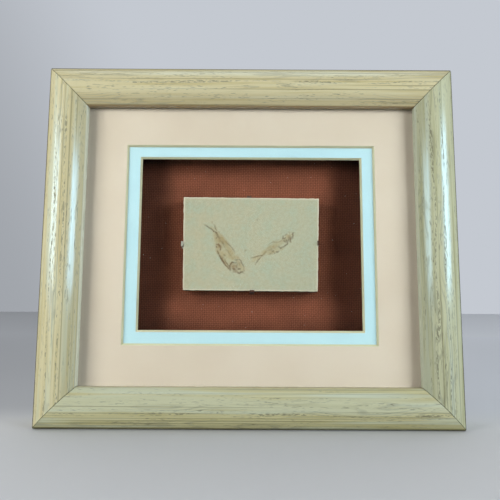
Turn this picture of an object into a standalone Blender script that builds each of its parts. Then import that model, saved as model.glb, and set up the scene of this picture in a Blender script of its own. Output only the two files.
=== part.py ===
"""Framed fossil slab: a small limestone slab with two fossil fish, set in a deep wooden shadow box.

Run with:  blender --background --python part.py

The frame stands on its bottom rail and faces -Y. X runs to the right, Z up, all lengths are in metres.
The origin is the middle of the bounding box at floor level. "Depth" is measured backwards from the
highest line of the moulding (its crown), so a larger depth lies nearer the wall.
"""

import math
import random

import bmesh
import bpy
from mathutils import Vector
from mathutils.geometry import delaunay_2d_cdt

MM = 0.001

# ---- driving dimensions: frame ------------------------------------------------------------------
FRAME_WIDTH = 300.0 * MM
FRAME_HEIGHT = 261.3 * MM
RAIL_FACE = 28.1 * MM          # width of the moulding as seen from the front
RAIL_DEPTH = 47.5 * MM         # crown to the rear face
CROWN_FROM_OUTSIDE = 13.5 * MM
OUTER_DROP = 7.4 * MM          # crown to the outer arris
OUTER_ROUNDNESS = 1.6          # exponent of the curve from crown to outer arris
SIGHT_DROP = 9.4 * MM          # crown to the arris beside the glass
SIGHT_ROUNDNESS = 2.0
RABBET_DEPTH = 13.5 * MM
RABBET_WIDTH = 6.0 * MM
REAR_CHAMFER = 0.8 * MM
CURVE_STEPS = 9
SHARP_ANGLE = math.radians(35)

# ---- driving dimensions: what lies in the rabbet, front to back -----------------------------------
GAP = 0.3 * MM                 # clearance between neighbouring pieces
MITRE_GAP = 0.34 * MM
RABBET_CLEARANCE = 0.5 * MM
GLASS_THICKNESS = 2.0 * MM
MAT_THICKNESS = 1.4 * MM       # four-ply mat board, window cut at 45 degrees
SPACER_DEPTH = 20.0 * MM
SPACER_WIDTH = 5.0 * MM
BOARD_THICKNESS = 3.0 * MM
BACKING_THICKNESS = 3.0 * MM

TOP_MAT_WINDOW = (186.0 * MM, 149.0 * MM)      # at the front edge of the bevel
UNDER_MAT_WINDOW = (163.8 * MM, 127.9 * MM)    # at the rear edge of the bevel
TOP_MAT_SHIFT = (0.15 * MM, 0.1 * MM)          # how far right and up each window was cut
UNDER_MAT_SHIFT = (0.4 * MM, 0.45 * MM)

# ---- driving dimensions: slab, clips, hanger ------------------------------------------------------
SLAB_RISE = 1.1 * MM           # the slab sits this much above the middle
SLAB_TOP_WIDTH = 103.4 * MM
SLAB_BOTTOM_WIDTH = 101.0 * MM
SLAB_HEIGHT = 71.1 * MM
SLAB_THICKNESS = 15.5 * MM
SLAB_TURN = math.radians(0.39)  # the slab was set down slightly turned
SLAB_EDGE_WEAR = 0.35 * MM
SLAB_EDGE_STEP = 5.0 * MM
STONE_GRID = 6.5 * MM
FACE_MARGIN = 2.0 * MM         # from the sawn edge to the first row of the grid
STONE_SWELL = 0.12 * MM
SWELL_ACROSS = 11.0 * MM       # the split face rises and falls in waves of these lengths / 2 pi
SWELL_UP = 14.0 * MM
SWELL_RIPPLE = 6.0 * MM
EDGE_SEED = 7
MIN_POINT_SPACING = 0.28 * MM
MERGE_DISTANCE = 1e-7

CLIP_WIDTH = 3.6 * MM
CLIP_THICKNESS = 0.5 * MM
CLIP_LIP = 0.6 * MM
CLIP_FOOT = 1.4 * MM

HANGER_WIDTH = 44.0 * MM
HANGER_HEIGHT = 8.0 * MM
HANGER_THICKNESS = 0.8 * MM
HANGER_TEETH = 13
TOOTH_DEPTH = 1.4 * MM
HANGER_FROM_TOP = 11.0 * MM
NAIL_SPREAD = 37.0 * MM
NAIL_SHANK = 0.6 * MM
NAIL_HEAD = 1.7 * MM
NAIL_HEAD_DEPTH = 0.8 * MM
NAIL_BITE = 5.0 * MM           # length of shank inside the rail
NAIL_HOLE = 1.0 * MM
NAIL_HOLE_SPARE = 1.0 * MM     # how far a nail's hole runs past its ends
NAIL_SIDES = 12

POINT_LENGTH = 12.0 * MM
POINT_WIDTH = 5.0 * MM
POINT_THICKNESS = 0.4 * MM
POINTS_PER_LONG_SIDE = 3
POINTS_PER_SHORT_SIDE = 2

# ---- worked-out places ----------------------------------------------------------------------------
INNER_WIDTH = FRAME_WIDTH - 2 * RAIL_FACE
INNER_HEIGHT = FRAME_HEIGHT - 2 * RAIL_FACE
PANEL_WIDTH = INNER_WIDTH + 2 * (RABBET_WIDTH - RABBET_CLEARANCE)
PANEL_HEIGHT = INNER_HEIGHT + 2 * (RABBET_WIDTH - RABBET_CLEARANCE)

GLASS_FRONT = RABBET_DEPTH + GAP
TOP_MAT_FRONT = GLASS_FRONT + GLASS_THICKNESS + GAP
UNDER_MAT_FRONT = TOP_MAT_FRONT + MAT_THICKNESS + GAP
SPACER_FRONT = UNDER_MAT_FRONT + MAT_THICKNESS + GAP
BOARD_FRONT = SPACER_FRONT + SPACER_DEPTH + GAP
BACKING_FRONT = BOARD_FRONT + BOARD_THICKNESS + GAP
POINT_FRONT = BACKING_FRONT + BACKING_THICKNESS + GAP
SLAB_REAR = BOARD_FRONT - GAP
SLAB_FRONT = SLAB_REAR - SLAB_THICKNESS
HANGER_FRONT = RAIL_DEPTH + GAP
NAIL_HEAD_FRONT = HANGER_FRONT + HANGER_THICKNESS + GAP

TOTAL_DEPTH = NAIL_HEAD_FRONT + NAIL_HEAD_DEPTH
CROWN_Y = -TOTAL_DEPTH / 2
CENTRE_Z = FRAME_HEIGHT / 2
SLAB_Z = CENTRE_Z + SLAB_RISE

# ---- the two fish, in millimetres along and across each body ----------------------------------------
# along: 0 at the root of the tail, growing to the snout; back and belly: distance from the spine.
LEFT_FISH = {
    "tail_root": (-26.0, 7.1),
    "heading": -54.2,          # degrees from +X towards +Z
    "length": 37.1,
    "back": [(-1.5, 1.5), (4, 3.0), (10.1, 3.7), (14.2, 3.9), (20.2, 3.5), (27.9, 3.9),
             (31.3, 3.3), (34.9, 1.8), (37.1, 0.2)],
    "belly": [(-1.5, 1.4), (1.5, 2.8), (6.1, 4.1), (9.1, 6.0), (13.1, 7.4), (19.2, 8.0),
              (26.3, 7.6), (30.3, 6.3), (34.4, 3.6), (37.1, 0.2)],
    "head_from": 27.3,
    "eye": (32.7, -1.6),
    "lobes": [(-11.1, 3.7), (-10.2, -3.6)],
}
RIGHT_FISH = {
    "tail_root": (9.1, -9.1),
    "heading": 35.1,
    "length": 28.8,
    "back": [(-1, 1.0), (2, 1.1), (5.7, 2.3), (9.1, 3.5), (13.1, 3.0), (17.2, 2.3),
             (21.7, 3.5), (26.8, 3.2), (28.8, 0.3)],
    "belly": [(-1, 1.0), (2, 1.3), (5.5, 2.9), (9.1, 4.9), (12.6, 5.4), (19.0, 4.4),
              (24.1, 3.2), (26.9, 1.6), (28.8, 0.3)],
    "head_from": 20.2,
    "eye": (25.3, 0.6),
    "lobes": [(-8.6, 2.9), (-8.3, -2.6)],
}
STATION_STEP = 1.15            # mm between cross rows of a body
ROW_SHARES = (1.15, 1.0, 0.82, 0.5)    # points of a cross row, as shares of back or belly
BODY_RELIEF = 0.30             # mm, flank above the stone
SPINE_RELIEF = 0.16
SPINE_HALF_WIDTH = 0.55
SKULL_RELIEF = 0.28
EYE_RADIUS = 1.3
EYE_PIT = 0.30
LOBE_RELIEF = 0.28
LOBE_HALF_WIDTH = 0.75
LOBE_FADE = 0.25               # share of a tail lobe over which it sinks into the stone
FLAT_MARGIN = 0.7              # mm of level stone kept around a snout or a lobe tip


def clear_scene():
    """Remove every object, so that the script can be run again."""
    for item in list(bpy.data.objects):
        bpy.data.objects.remove(item, do_unlink=True)


def make_material(name, colour, roughness, metallic=0.0, alpha=1.0):
    """Return a Principled material with one colour."""
    material = bpy.data.materials.new(name)
    material.use_nodes = True
    shader = material.node_tree.nodes["Principled BSDF"]
    shader.inputs["Base Color"].default_value = (*colour, 1.0)
    shader.inputs["Roughness"].default_value = roughness
    shader.inputs["Metallic"].default_value = metallic
    shader.inputs["Alpha"].default_value = alpha
    return material


def add_object(name, mesh, material, location=(0.0, 0.0, 0.0), turn=0.0):
    """Link a mesh as a named object, turned about Y and placed."""
    item = bpy.data.objects.new(name, mesh)
    item.location = location
    item.rotation_euler = (0.0, turn, 0.0)
    bpy.context.scene.collection.objects.link(item)
    if material is not None and not mesh.materials:
        mesh.materials.append(material)
    return item


def mesh_from_bmesh(name, shape):
    """Close a bmesh with its normals outwards and return it as a mesh."""
    bmesh.ops.recalc_face_normals(shape, faces=shape.faces[:])
    mesh = bpy.data.meshes.new(name)
    shape.to_mesh(mesh)
    shape.free()
    return mesh


def extrude_outline(name, outline, offset):
    """Return a prism: a closed outline of 3-D points, and the same outline moved by offset."""
    shape = bmesh.new()
    near = [shape.verts.new(point) for point in outline]
    far = [shape.verts.new(Vector(point) + Vector(offset)) for point in outline]
    shape.faces.new(near)
    shape.faces.new(list(reversed(far)))
    for i in range(len(outline)):
        j = (i + 1) % len(outline)
        shape.faces.new((near[i], near[j], far[j], far[i]))
    return mesh_from_bmesh(name, shape)


def panel_mesh(name, width, height, thickness):
    """Return a flat panel centred in X and Z, with its front at y = 0."""
    x, z = width / 2, height / 2
    corners = [(-x, 0, -z), (x, 0, -z), (x, 0, z), (-x, 0, z)]
    return extrude_outline(name, corners, (0, thickness, 0))


# ---- frame ----------------------------------------------------------------------------------------
def moulding_profile():
    """Return the rail's outline as (distance from the outside, depth) pairs."""
    points = [(REAR_CHAMFER, RAIL_DEPTH), (0.0, RAIL_DEPTH - REAR_CHAMFER)]
    for step in range(CURVE_STEPS + 1):
        # equal angles crowd the points where the outer arris turns fastest
        reach = math.cos(0.5 * math.pi * step / CURVE_STEPS)
        fall = 1 - (1 - reach ** OUTER_ROUNDNESS) ** (1 / OUTER_ROUNDNESS)
        points.append((CROWN_FROM_OUTSIDE * (1 - reach), OUTER_DROP * fall))
    for step in range(1, CURVE_STEPS + 1):
        reach = step / CURVE_STEPS
        inward = CROWN_FROM_OUTSIDE + (RAIL_FACE - CROWN_FROM_OUTSIDE) * reach
        points.append((inward, SIGHT_DROP * reach ** SIGHT_ROUNDNESS))
    points += [
        (RAIL_FACE, RABBET_DEPTH),
        (RAIL_FACE - RABBET_WIDTH, RABBET_DEPTH),
        (RAIL_FACE - RABBET_WIDTH, RAIL_DEPTH),
    ]
    return points


def rail_mesh(name, length):
    """Return a mitred rail lying along X, its outside at z = 0 and its crown at y = 0."""
    shape = bmesh.new()
    profile = moulding_profile()
    retreat = MITRE_GAP * math.sqrt(0.5)
    ends = []
    for side in (-1, 1):
        ends.append([shape.verts.new((side * (length / 2 - inward - retreat), depth, -inward))
                     for inward, depth in profile])
    shape.faces.new(ends[0])
    shape.faces.new(list(reversed(ends[1])))
    for i in range(len(profile)):
        j = (i + 1) % len(profile)
        shape.faces.new((ends[0][i], ends[0][j], ends[1][j], ends[1][i]))
    mesh = mesh_from_bmesh(name, shape)
    mesh.shade_smooth()
    mesh.set_sharp_from_angle(angle=SHARP_ANGLE)
    return mesh


def bore(item, start, length):
    """Cut a nail's clearance hole along +Y out of an object."""
    cutter = add_object("cut_nail_hole", round_bar("cut_nail_hole", NAIL_HOLE, length), None, start)
    cutter.hide_render = True
    cutter.display_type = "WIRE"
    boolean = item.modifiers.new("nail hole", "BOOLEAN")
    boolean.operation = "DIFFERENCE"
    boolean.solver = "EXACT"
    boolean.object = cutter


def cut_nail_holes(rail):
    """Bore the two pilot holes for the hanger's nails into the back of the top rail."""
    start = CROWN_Y + RAIL_DEPTH - NAIL_BITE - NAIL_HOLE_SPARE
    length = NAIL_BITE + 2 * NAIL_HOLE_SPARE
    for side in (-1, 1):
        bore(rail, (side * NAIL_SPREAD / 2, start, FRAME_HEIGHT - HANGER_FROM_TOP), length)


def build_frame(wood):
    """Make the four mitred rails."""
    quarter = math.pi / 2
    top = add_object("rail_top", rail_mesh("rail_top", FRAME_WIDTH), wood, (0, CROWN_Y, FRAME_HEIGHT))
    add_object("rail_bottom", rail_mesh("rail_bottom", FRAME_WIDTH), wood, (0, CROWN_Y, 0), 2 * quarter)
    for name, side in (("rail_left", -1), ("rail_right", 1)):
        place = (side * FRAME_WIDTH / 2, CROWN_Y, CENTRE_Z)
        add_object(name, rail_mesh(name, FRAME_HEIGHT), wood, place, side * quarter)
    cut_nail_holes(top)


# ---- glass, mats, spacers, boards -------------------------------------------------------------------
def mat_mesh(name, front_window, rear_window, shift):
    """Return a mat board with a window whose edge is bevelled towards the front."""
    shape = bmesh.new()

    def loop(width, height, depth, right=0.0, up=0.0):
        x, z = width / 2, height / 2
        signs = ((-1, -1), (1, -1), (1, 1), (-1, 1))
        return [shape.verts.new((right + a * x, depth, up + b * z)) for a, b in signs]

    loops = [
        loop(PANEL_WIDTH, PANEL_HEIGHT, 0),
        loop(*front_window, 0, *shift),
        loop(*rear_window, MAT_THICKNESS, *shift),
        loop(PANEL_WIDTH, PANEL_HEIGHT, MAT_THICKNESS),
    ]
    for i in range(4):
        first, second = loops[i], loops[(i + 1) % 4]
        for j in range(4):
            k = (j + 1) % 4
            shape.faces.new((first[j], first[k], second[k], second[j]))
    return mesh_from_bmesh(name, shape)


def build_mats(top_card, under_card):
    """Make the wide mat in front and the narrow reveal behind it."""
    bevel = 2 * MAT_THICKNESS
    rear = (TOP_MAT_WINDOW[0] - bevel, TOP_MAT_WINDOW[1] - bevel)
    add_object("top_mat", mat_mesh("top_mat", TOP_MAT_WINDOW, rear, TOP_MAT_SHIFT), top_card,
               (0, CROWN_Y + TOP_MAT_FRONT, CENTRE_Z))
    front = (UNDER_MAT_WINDOW[0] + bevel, UNDER_MAT_WINDOW[1] + bevel)
    add_object("under_mat", mat_mesh("under_mat", front, UNDER_MAT_WINDOW, UNDER_MAT_SHIFT), under_card,
               (0, CROWN_Y + UNDER_MAT_FRONT, CENTRE_Z))


def build_spacers(foam):
    """Make the four strips that hold the mats away from the lined board."""
    y = CROWN_Y + SPACER_FRONT
    upright = PANEL_HEIGHT - 2 * (SPACER_WIDTH + GAP)
    for name, side in (("spacer_bottom", -1), ("spacer_top", 1)):
        z = CENTRE_Z + side * (PANEL_HEIGHT - SPACER_WIDTH) / 2
        add_object(name, panel_mesh(name, PANEL_WIDTH, SPACER_WIDTH, SPACER_DEPTH), foam, (0, y, z))
    for name, side in (("spacer_left", -1), ("spacer_right", 1)):
        x = side * (PANEL_WIDTH - SPACER_WIDTH) / 2
        add_object(name, panel_mesh(name, SPACER_WIDTH, upright, SPACER_DEPTH), foam, (x, y, CENTRE_Z))


def build_panels(glass, linen, hardboard):
    """Make the glazing, the linen-covered board and the backing board."""
    panels = (
        ("glazing", GLASS_THICKNESS, GLASS_FRONT, glass),
        ("linen_board", BOARD_THICKNESS, BOARD_FRONT, linen),
        ("backing_board", BACKING_THICKNESS, BACKING_FRONT, hardboard),
    )
    for name, thickness, front, material in panels:
        mesh = panel_mesh(name, PANEL_WIDTH, PANEL_HEIGHT, thickness)
        add_object(name, mesh, material, (0, CROWN_Y + front, CENTRE_Z))


# ---- fossil slab ------------------------------------------------------------------------------------
def smooth_between(table, along):
    """Read a width from (along, width) pairs, easing from one pair to the next."""
    if along <= table[0][0]:
        return table[0][1]
    for (start, low), (end, high) in zip(table, table[1:]):
        if along <= end:
            share = (along - start) / (end - start)
            return low + (high - low) * share * share * (3 - 2 * share)
    return table[-1][1]


def bell(distance, half_width):
    """Return 1 at zero distance, falling smoothly to 0 at the half width."""
    share = min(abs(distance) / half_width, 1.0)
    return (1 - share * share) ** 2


def distance_to_line(point, start, end):
    """Return how far a 2-D point lies from a straight stretch."""
    stretch = end - start
    share = max(0.0, min(1.0, (point - start).dot(stretch) / stretch.length_squared))
    return (point - start - stretch * share).length


def fish_relief(fish, along, across):
    """Return the height in millimetres of the fish above the stone."""
    back = smooth_between(fish["back"], along)
    belly = smooth_between(fish["belly"], along)
    height = 0.0
    if fish["back"][0][0] <= along <= fish["length"]:
        edge = across / (back if across > 0 else belly)
        if abs(edge) < 1:
            height = BODY_RELIEF * (1 - abs(edge) ** 5)
            height += SPINE_RELIEF * bell(across, SPINE_HALF_WIDTH) * (along < fish["head_from"])
            if along > fish["head_from"]:
                height += SKULL_RELIEF * (1 - abs(edge) ** 3)
            eye = (Vector((along, across)) - Vector(fish["eye"])).length
            height -= EYE_PIT * bell(eye, EYE_RADIUS)
    for tip in fish["lobes"]:
        reach = Vector(tip)
        share = Vector((along, across)).dot(reach) / reach.length_squared
        gap = distance_to_line(Vector((along, across)), Vector((0.0, 0.0)), reach)
        fade = max(0.0, min(1.0, (1 - share) / LOBE_FADE))
        height = max(height, LOBE_RELIEF * fade * bell(gap, LOBE_HALF_WIDTH))
    return height


def fish_points(fish):
    """Return (x, z, height) of the points that carry one fish, in millimetres on the slab."""
    heading = math.radians(fish["heading"])
    forward = Vector((math.cos(heading), math.sin(heading)))
    upward = Vector((-forward.y, forward.x))
    root = Vector(fish["tail_root"])
    local = []
    start = fish["back"][0][0]
    stations = math.ceil((fish["length"] - start) / STATION_STEP)
    for row in range(stations + 1):
        along = start + (fish["length"] - start) * row / stations
        back = smooth_between(fish["back"], along)
        belly = smooth_between(fish["belly"], along)
        for share in ROW_SHARES:
            local += [(along, share * back), (along, -share * belly)]
        local += [(along, 0.0), (along, SPINE_HALF_WIDTH), (along, -SPINE_HALF_WIDTH)]
    for tip in fish["lobes"]:
        reach = Vector(tip)
        side = Vector((-reach.y, reach.x)).normalized()
        steps = math.ceil(reach.length / STATION_STEP)
        for step in range(2, steps + 1):
            middle = reach * (step / steps)
            for offset in (-LOBE_HALF_WIDTH, -LOBE_HALF_WIDTH / 2, 0.0, LOBE_HALF_WIDTH / 2, LOBE_HALF_WIDTH):
                local.append(tuple(middle + side * offset * (1.3 - 0.8 * step / steps)))
        beyond = reach * (1 + FLAT_MARGIN / reach.length)
        local += [tuple(beyond), tuple(reach + side * FLAT_MARGIN), tuple(reach - side * FLAT_MARGIN)]
    ahead = fish["length"] + FLAT_MARGIN
    local += [(ahead, 0.0), (ahead - FLAT_MARGIN / 2, FLAT_MARGIN), (ahead - FLAT_MARGIN / 2, -FLAT_MARGIN)]
    points = []
    for along, across in local:
        place = root + forward * along + upward * across
        points.append((place.x, place.y, fish_relief(fish, along, across)))
    return points


def stone_swell(x, z):
    """Return the slow rise and fall of the split face, zero to STONE_SWELL."""
    broad = math.sin(x / SWELL_ACROSS + 0.6) * math.cos(z / SWELL_UP - 0.4)
    ripple = 0.4 * math.sin((x + z) / SWELL_RIPPLE)
    return STONE_SWELL * (0.5 + 0.35 * (broad + ripple))


def slab_boundary(rng):
    """Return the sawn outline of the slab, anticlockwise, with slightly uneven edges."""
    half_top, half_bottom, half_height = SLAB_TOP_WIDTH / 2, SLAB_BOTTOM_WIDTH / 2, SLAB_HEIGHT / 2
    corners = [Vector((-half_bottom, -half_height)), Vector((half_bottom, -half_height)),
               Vector((half_top, half_height)), Vector((-half_top, half_height))]
    outline = []
    for i, corner in enumerate(corners):
        following = corners[(i + 1) % 4]
        run = following - corner
        inward = Vector((-run.y, run.x)).normalized()
        steps = round(run.length / SLAB_EDGE_STEP)
        for step in range(steps):
            wear = rng.uniform(0.0, SLAB_EDGE_WEAR) if step else 0.0
            outline.append(corner + run * (step / steps) + inward * wear)
    return outline


def face_points(boundary):
    """Return (x, z, height) for the whole split face, the boundary first, in metres."""
    points = [(p.x, p.y, stone_swell(p.x, p.y)) for p in boundary]
    inner_x = min(SLAB_TOP_WIDTH, SLAB_BOTTOM_WIDTH) / 2 - FACE_MARGIN
    inner_z = SLAB_HEIGHT / 2 - FACE_MARGIN
    candidates = []
    for fish in (LEFT_FISH, RIGHT_FISH):
        for x, z, height in fish_points(fish):
            x, z = x * MM, z * MM
            candidates.append((x, z, height * MM + stone_swell(x, z), MIN_POINT_SPACING))
    columns = round(2 * inner_x / STONE_GRID)
    rows = round(2 * inner_z / STONE_GRID)
    for column in range(columns + 1):
        for row in range(rows + 1):
            x = -inner_x + 2 * inner_x * column / columns
            z = -inner_z + 2 * inner_z * row / rows
            candidates.append((x, z, stone_swell(x, z), STONE_GRID / 3))
    for x, z, height, spacing in candidates:
        if all((x - p[0]) ** 2 + (z - p[1]) ** 2 > spacing ** 2 for p in points):
            points.append((x, z, height))
    return points


def slab_mesh():
    """Return the slab with both fish standing in low relief on its front."""
    rng = random.Random(EDGE_SEED)
    boundary = slab_boundary(rng)
    points = face_points(boundary)
    count = len(boundary)
    edges = [(i, (i + 1) % count) for i in range(count)]
    flat = [Vector((x, z)) for x, z, _ in points]
    result = delaunay_2d_cdt(flat, edges, [], 1, MERGE_DISTANCE)
    corners, faces, origins = result[0], result[2], result[3]

    shape = bmesh.new()
    top = STONE_SWELL + (BODY_RELIEF + SKULL_RELIEF) * MM
    front = []
    for corner, origin in zip(corners, origins):
        height = points[origin[0]][2]
        front.append(shape.verts.new((corner.x, top - height, corner.y)))
    for face in faces:
        shape.faces.new([front[i] for i in face])
    place = {origin[0]: vert for vert, origin in zip(front, origins)}
    rim = [place[i] for i in range(count)]
    rear = [shape.verts.new((p.x, SLAB_THICKNESS, p.y)) for p in boundary]
    for i in range(count):
        j = (i + 1) % count
        shape.faces.new((rim[i], rim[j], rear[j], rear[i]))
    shape.faces.new(rear)
    return mesh_from_bmesh("fossil_slab", shape)


def build_slab(stone):
    """Make the fossil slab and set it on the lined board."""
    add_object("fossil_slab", slab_mesh(), stone, (0, CROWN_Y + SLAB_FRONT, SLAB_Z), SLAB_TURN)


def clip_mesh(name):
    """Return a bent clip that hooks over an edge lying along X at z = 0, the slab below it."""
    stand = GAP + CLIP_THICKNESS
    front = -(GAP + CLIP_THICKNESS)
    outline = [
        (front, -CLIP_LIP), (front, stand), (SLAB_THICKNESS - CLIP_THICKNESS, stand),
        (SLAB_THICKNESS - CLIP_THICKNESS, stand + CLIP_FOOT), (SLAB_THICKNESS, stand + CLIP_FOOT),
        (SLAB_THICKNESS, GAP), (-GAP, GAP), (-GAP, -CLIP_LIP),
    ]
    x = -CLIP_WIDTH / 2
    return extrude_outline(name, [(x, depth, z) for depth, z in outline], (CLIP_WIDTH, 0, 0))


def build_clips(steel):
    """Hook one clip over the middle of each edge of the slab."""
    quarter = math.pi / 2
    half_width = (SLAB_TOP_WIDTH + SLAB_BOTTOM_WIDTH) / 4
    half_height = SLAB_HEIGHT / 2
    clips = (
        ("clip_top", (-1.2 * MM, half_height), 0),
        ("clip_right", (half_width, 0.8 * MM), quarter),
        ("clip_bottom", (1.8 * MM, -half_height), 2 * quarter),
        ("clip_left", (-half_width, -0.8 * MM), -quarter),
    )
    for name, (x, z), turn in clips:
        turned_x = x * math.cos(SLAB_TURN) + z * math.sin(SLAB_TURN)
        turned_z = z * math.cos(SLAB_TURN) - x * math.sin(SLAB_TURN)
        place = (turned_x, CROWN_Y + SLAB_FRONT, SLAB_Z + turned_z)
        add_object(name, clip_mesh(name), steel, place, turn + SLAB_TURN)


# ---- hanger, nails and framer's points ----------------------------------------------------------------
def round_bar(name, radius, length, sides=NAIL_SIDES):
    """Return a round bar along +Y from y = 0."""
    outline = []
    for i in range(sides):
        angle = 2 * math.pi * i / sides
        outline.append((radius * math.cos(angle), 0, radius * math.sin(angle)))
    return extrude_outline(name, outline, (0, length, 0))


def nail_mesh(name):
    """Return a small nail along Y: shank from y = 0, low domed head at the far end."""
    shape = bmesh.new()
    shank_end = NAIL_BITE + NAIL_HEAD_FRONT - RAIL_DEPTH
    profile = [
        (NAIL_SHANK, 0.0), (NAIL_SHANK, shank_end), (NAIL_HEAD, shank_end),
        (NAIL_HEAD * 0.9, shank_end + NAIL_HEAD_DEPTH * 0.5), (NAIL_HEAD * 0.5, shank_end + NAIL_HEAD_DEPTH),
    ]
    rings = []
    for radius, y in profile:
        rings.append([shape.verts.new((radius * math.cos(2 * math.pi * i / NAIL_SIDES), y,
                                       radius * math.sin(2 * math.pi * i / NAIL_SIDES)))
                      for i in range(NAIL_SIDES)])
    for first, second in zip(rings, rings[1:]):
        for i in range(NAIL_SIDES):
            j = (i + 1) % NAIL_SIDES
            shape.faces.new((first[i], first[j], second[j], second[i]))
    shape.faces.new(rings[0])
    shape.faces.new(list(reversed(rings[-1])))
    return mesh_from_bmesh(name, shape)


def hanger_mesh():
    """Return the sawtooth strip, teeth along its lower edge, centred on x = z = 0."""
    half_width, half_height = HANGER_WIDTH / 2, HANGER_HEIGHT / 2
    toothed = HANGER_WIDTH - 4 * NAIL_HEAD - (HANGER_WIDTH - NAIL_SPREAD) / 2
    pitch = toothed / HANGER_TEETH
    outline = [(half_width, 0, -half_height), (half_width, 0, half_height),
               (-half_width, 0, half_height), (-half_width, 0, -half_height)]
    for tooth in range(HANGER_TEETH):
        x = -toothed / 2 + tooth * pitch
        outline += [(x, 0, -half_height), (x + pitch / 2, 0, -half_height + TOOTH_DEPTH)]
    outline.append((toothed / 2, 0, -half_height))
    return extrude_outline("hanger", outline, (0, HANGER_THICKNESS, 0))


def build_hanger(steel):
    """Fix the sawtooth hanger to the back of the top rail with two nails."""
    z = FRAME_HEIGHT - HANGER_FROM_TOP
    hanger = add_object("hanger", hanger_mesh(), steel, (0, CROWN_Y + HANGER_FRONT, z))
    for name, side in (("hanger_nail_left", -1), ("hanger_nail_right", 1)):
        x = side * NAIL_SPREAD / 2
        start = CROWN_Y + HANGER_FRONT - NAIL_HOLE_SPARE
        bore(hanger, (x, start, z), HANGER_THICKNESS + 2 * NAIL_HOLE_SPARE)
        add_object(name, nail_mesh(name), steel, (x, CROWN_Y + RAIL_DEPTH - NAIL_BITE, z))


def build_points(steel):
    """Lay the flat framer's points that hold the backing board in the rabbet."""
    y = CROWN_Y + POINT_FRONT
    inset = GAP + POINT_LENGTH / 2
    half_width = INNER_WIDTH / 2 + RABBET_WIDTH - inset
    half_height = INNER_HEIGHT / 2 + RABBET_WIDTH - inset
    places = []
    for number in range(POINTS_PER_LONG_SIDE):
        x = INNER_WIDTH * ((number + 0.5) / POINTS_PER_LONG_SIDE - 0.5)
        places.append(("point_bottom_", number, x, -half_height, False))
        places.append(("point_top_", number, x, half_height, False))
    for number in range(POINTS_PER_SHORT_SIDE):
        z = INNER_HEIGHT * ((number + 0.5) / POINTS_PER_SHORT_SIDE - 0.5)
        places.append(("point_left_", number, -half_width, z, True))
        places.append(("point_right_", number, half_width, z, True))
    for stem, number, x, z, lying in places:
        name = stem + str(number + 1)
        size = (POINT_LENGTH, POINT_WIDTH) if lying else (POINT_WIDTH, POINT_LENGTH)
        add_object(name, panel_mesh(name, *size, POINT_THICKNESS), steel, (x, y, CENTRE_Z + z))


def main():
    """Build the framed slab."""
    clear_scene()
    wood = make_material("pickled_wood", (0.58, 0.52, 0.34), 0.42)
    top_card = make_material("peach_card", (0.70, 0.57, 0.45), 0.9)
    under_card = make_material("white_card", (0.74, 0.82, 0.86), 0.9)
    foam = make_material("foam_board", (0.75, 0.73, 0.68), 0.9)
    glass = make_material("glass", (0.9, 0.95, 0.93), 0.05, alpha=0.25)
    linen = make_material("rust_linen", (0.19, 0.065, 0.04), 0.95)
    hardboard = make_material("hardboard", (0.24, 0.15, 0.08), 0.8)
    stone = make_material("limestone", (0.50, 0.47, 0.34), 0.9)
    steel = make_material("plated_steel", (0.6, 0.58, 0.52), 0.35, metallic=1.0)
    build_frame(wood)
    build_panels(glass, linen, hardboard)
    build_mats(top_card, under_card)
    build_spacers(foam)
    build_slab(stone)
    build_clips(steel)
    build_hanger(steel)
    build_points(steel)


main()
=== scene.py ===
"""Looks of a small fossil slab in a wooden shadow box: rails, glass, mats, linen, stone and fittings.

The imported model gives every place; this script gives every surface. The helpers come first, then the
finishes, one small frozen class for each real one, and then one class for each sub-assembly.
Lengths are metres unless a name or comment says millimetres. The frame faces -Y, X is right, Z is up.
"""

import logging
import math
from collections.abc import Sequence
from dataclasses import dataclass, field
from enum import Enum

import bmesh
import bpy
import numpy as np
from mathutils import Matrix, Vector


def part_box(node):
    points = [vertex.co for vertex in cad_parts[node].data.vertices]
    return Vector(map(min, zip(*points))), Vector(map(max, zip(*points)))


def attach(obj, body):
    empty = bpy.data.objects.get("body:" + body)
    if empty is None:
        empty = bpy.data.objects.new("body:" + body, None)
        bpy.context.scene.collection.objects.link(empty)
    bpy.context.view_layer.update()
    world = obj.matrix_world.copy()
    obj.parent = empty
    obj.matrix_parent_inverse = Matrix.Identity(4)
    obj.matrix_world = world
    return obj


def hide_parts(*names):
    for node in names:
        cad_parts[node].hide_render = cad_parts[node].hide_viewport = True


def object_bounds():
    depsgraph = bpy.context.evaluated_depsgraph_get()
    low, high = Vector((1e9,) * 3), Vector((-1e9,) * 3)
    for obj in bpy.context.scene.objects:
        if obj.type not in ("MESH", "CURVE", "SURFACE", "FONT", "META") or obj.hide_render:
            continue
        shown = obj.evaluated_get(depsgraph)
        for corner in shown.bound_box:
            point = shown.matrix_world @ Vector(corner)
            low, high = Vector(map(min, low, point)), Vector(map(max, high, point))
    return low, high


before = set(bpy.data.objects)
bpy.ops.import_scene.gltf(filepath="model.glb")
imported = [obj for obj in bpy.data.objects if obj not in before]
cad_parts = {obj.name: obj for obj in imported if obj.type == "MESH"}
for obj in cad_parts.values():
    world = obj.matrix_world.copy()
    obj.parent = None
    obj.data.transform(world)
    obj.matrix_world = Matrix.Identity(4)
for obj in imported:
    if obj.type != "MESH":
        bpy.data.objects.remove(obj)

MM = 0.001
TO_MM = 1000.0
CAD_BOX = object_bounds()
LOG = logging.getLogger("fossil_frame")

Colour = tuple[float, float, float, float]
Pair = tuple[float, float]
Array = np.ndarray
Material = bpy.types.Material
Socket = bpy.types.NodeSocket
Tree = bpy.types.NodeTree
Value = Socket | Sequence[float] | str | float | bool


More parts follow.
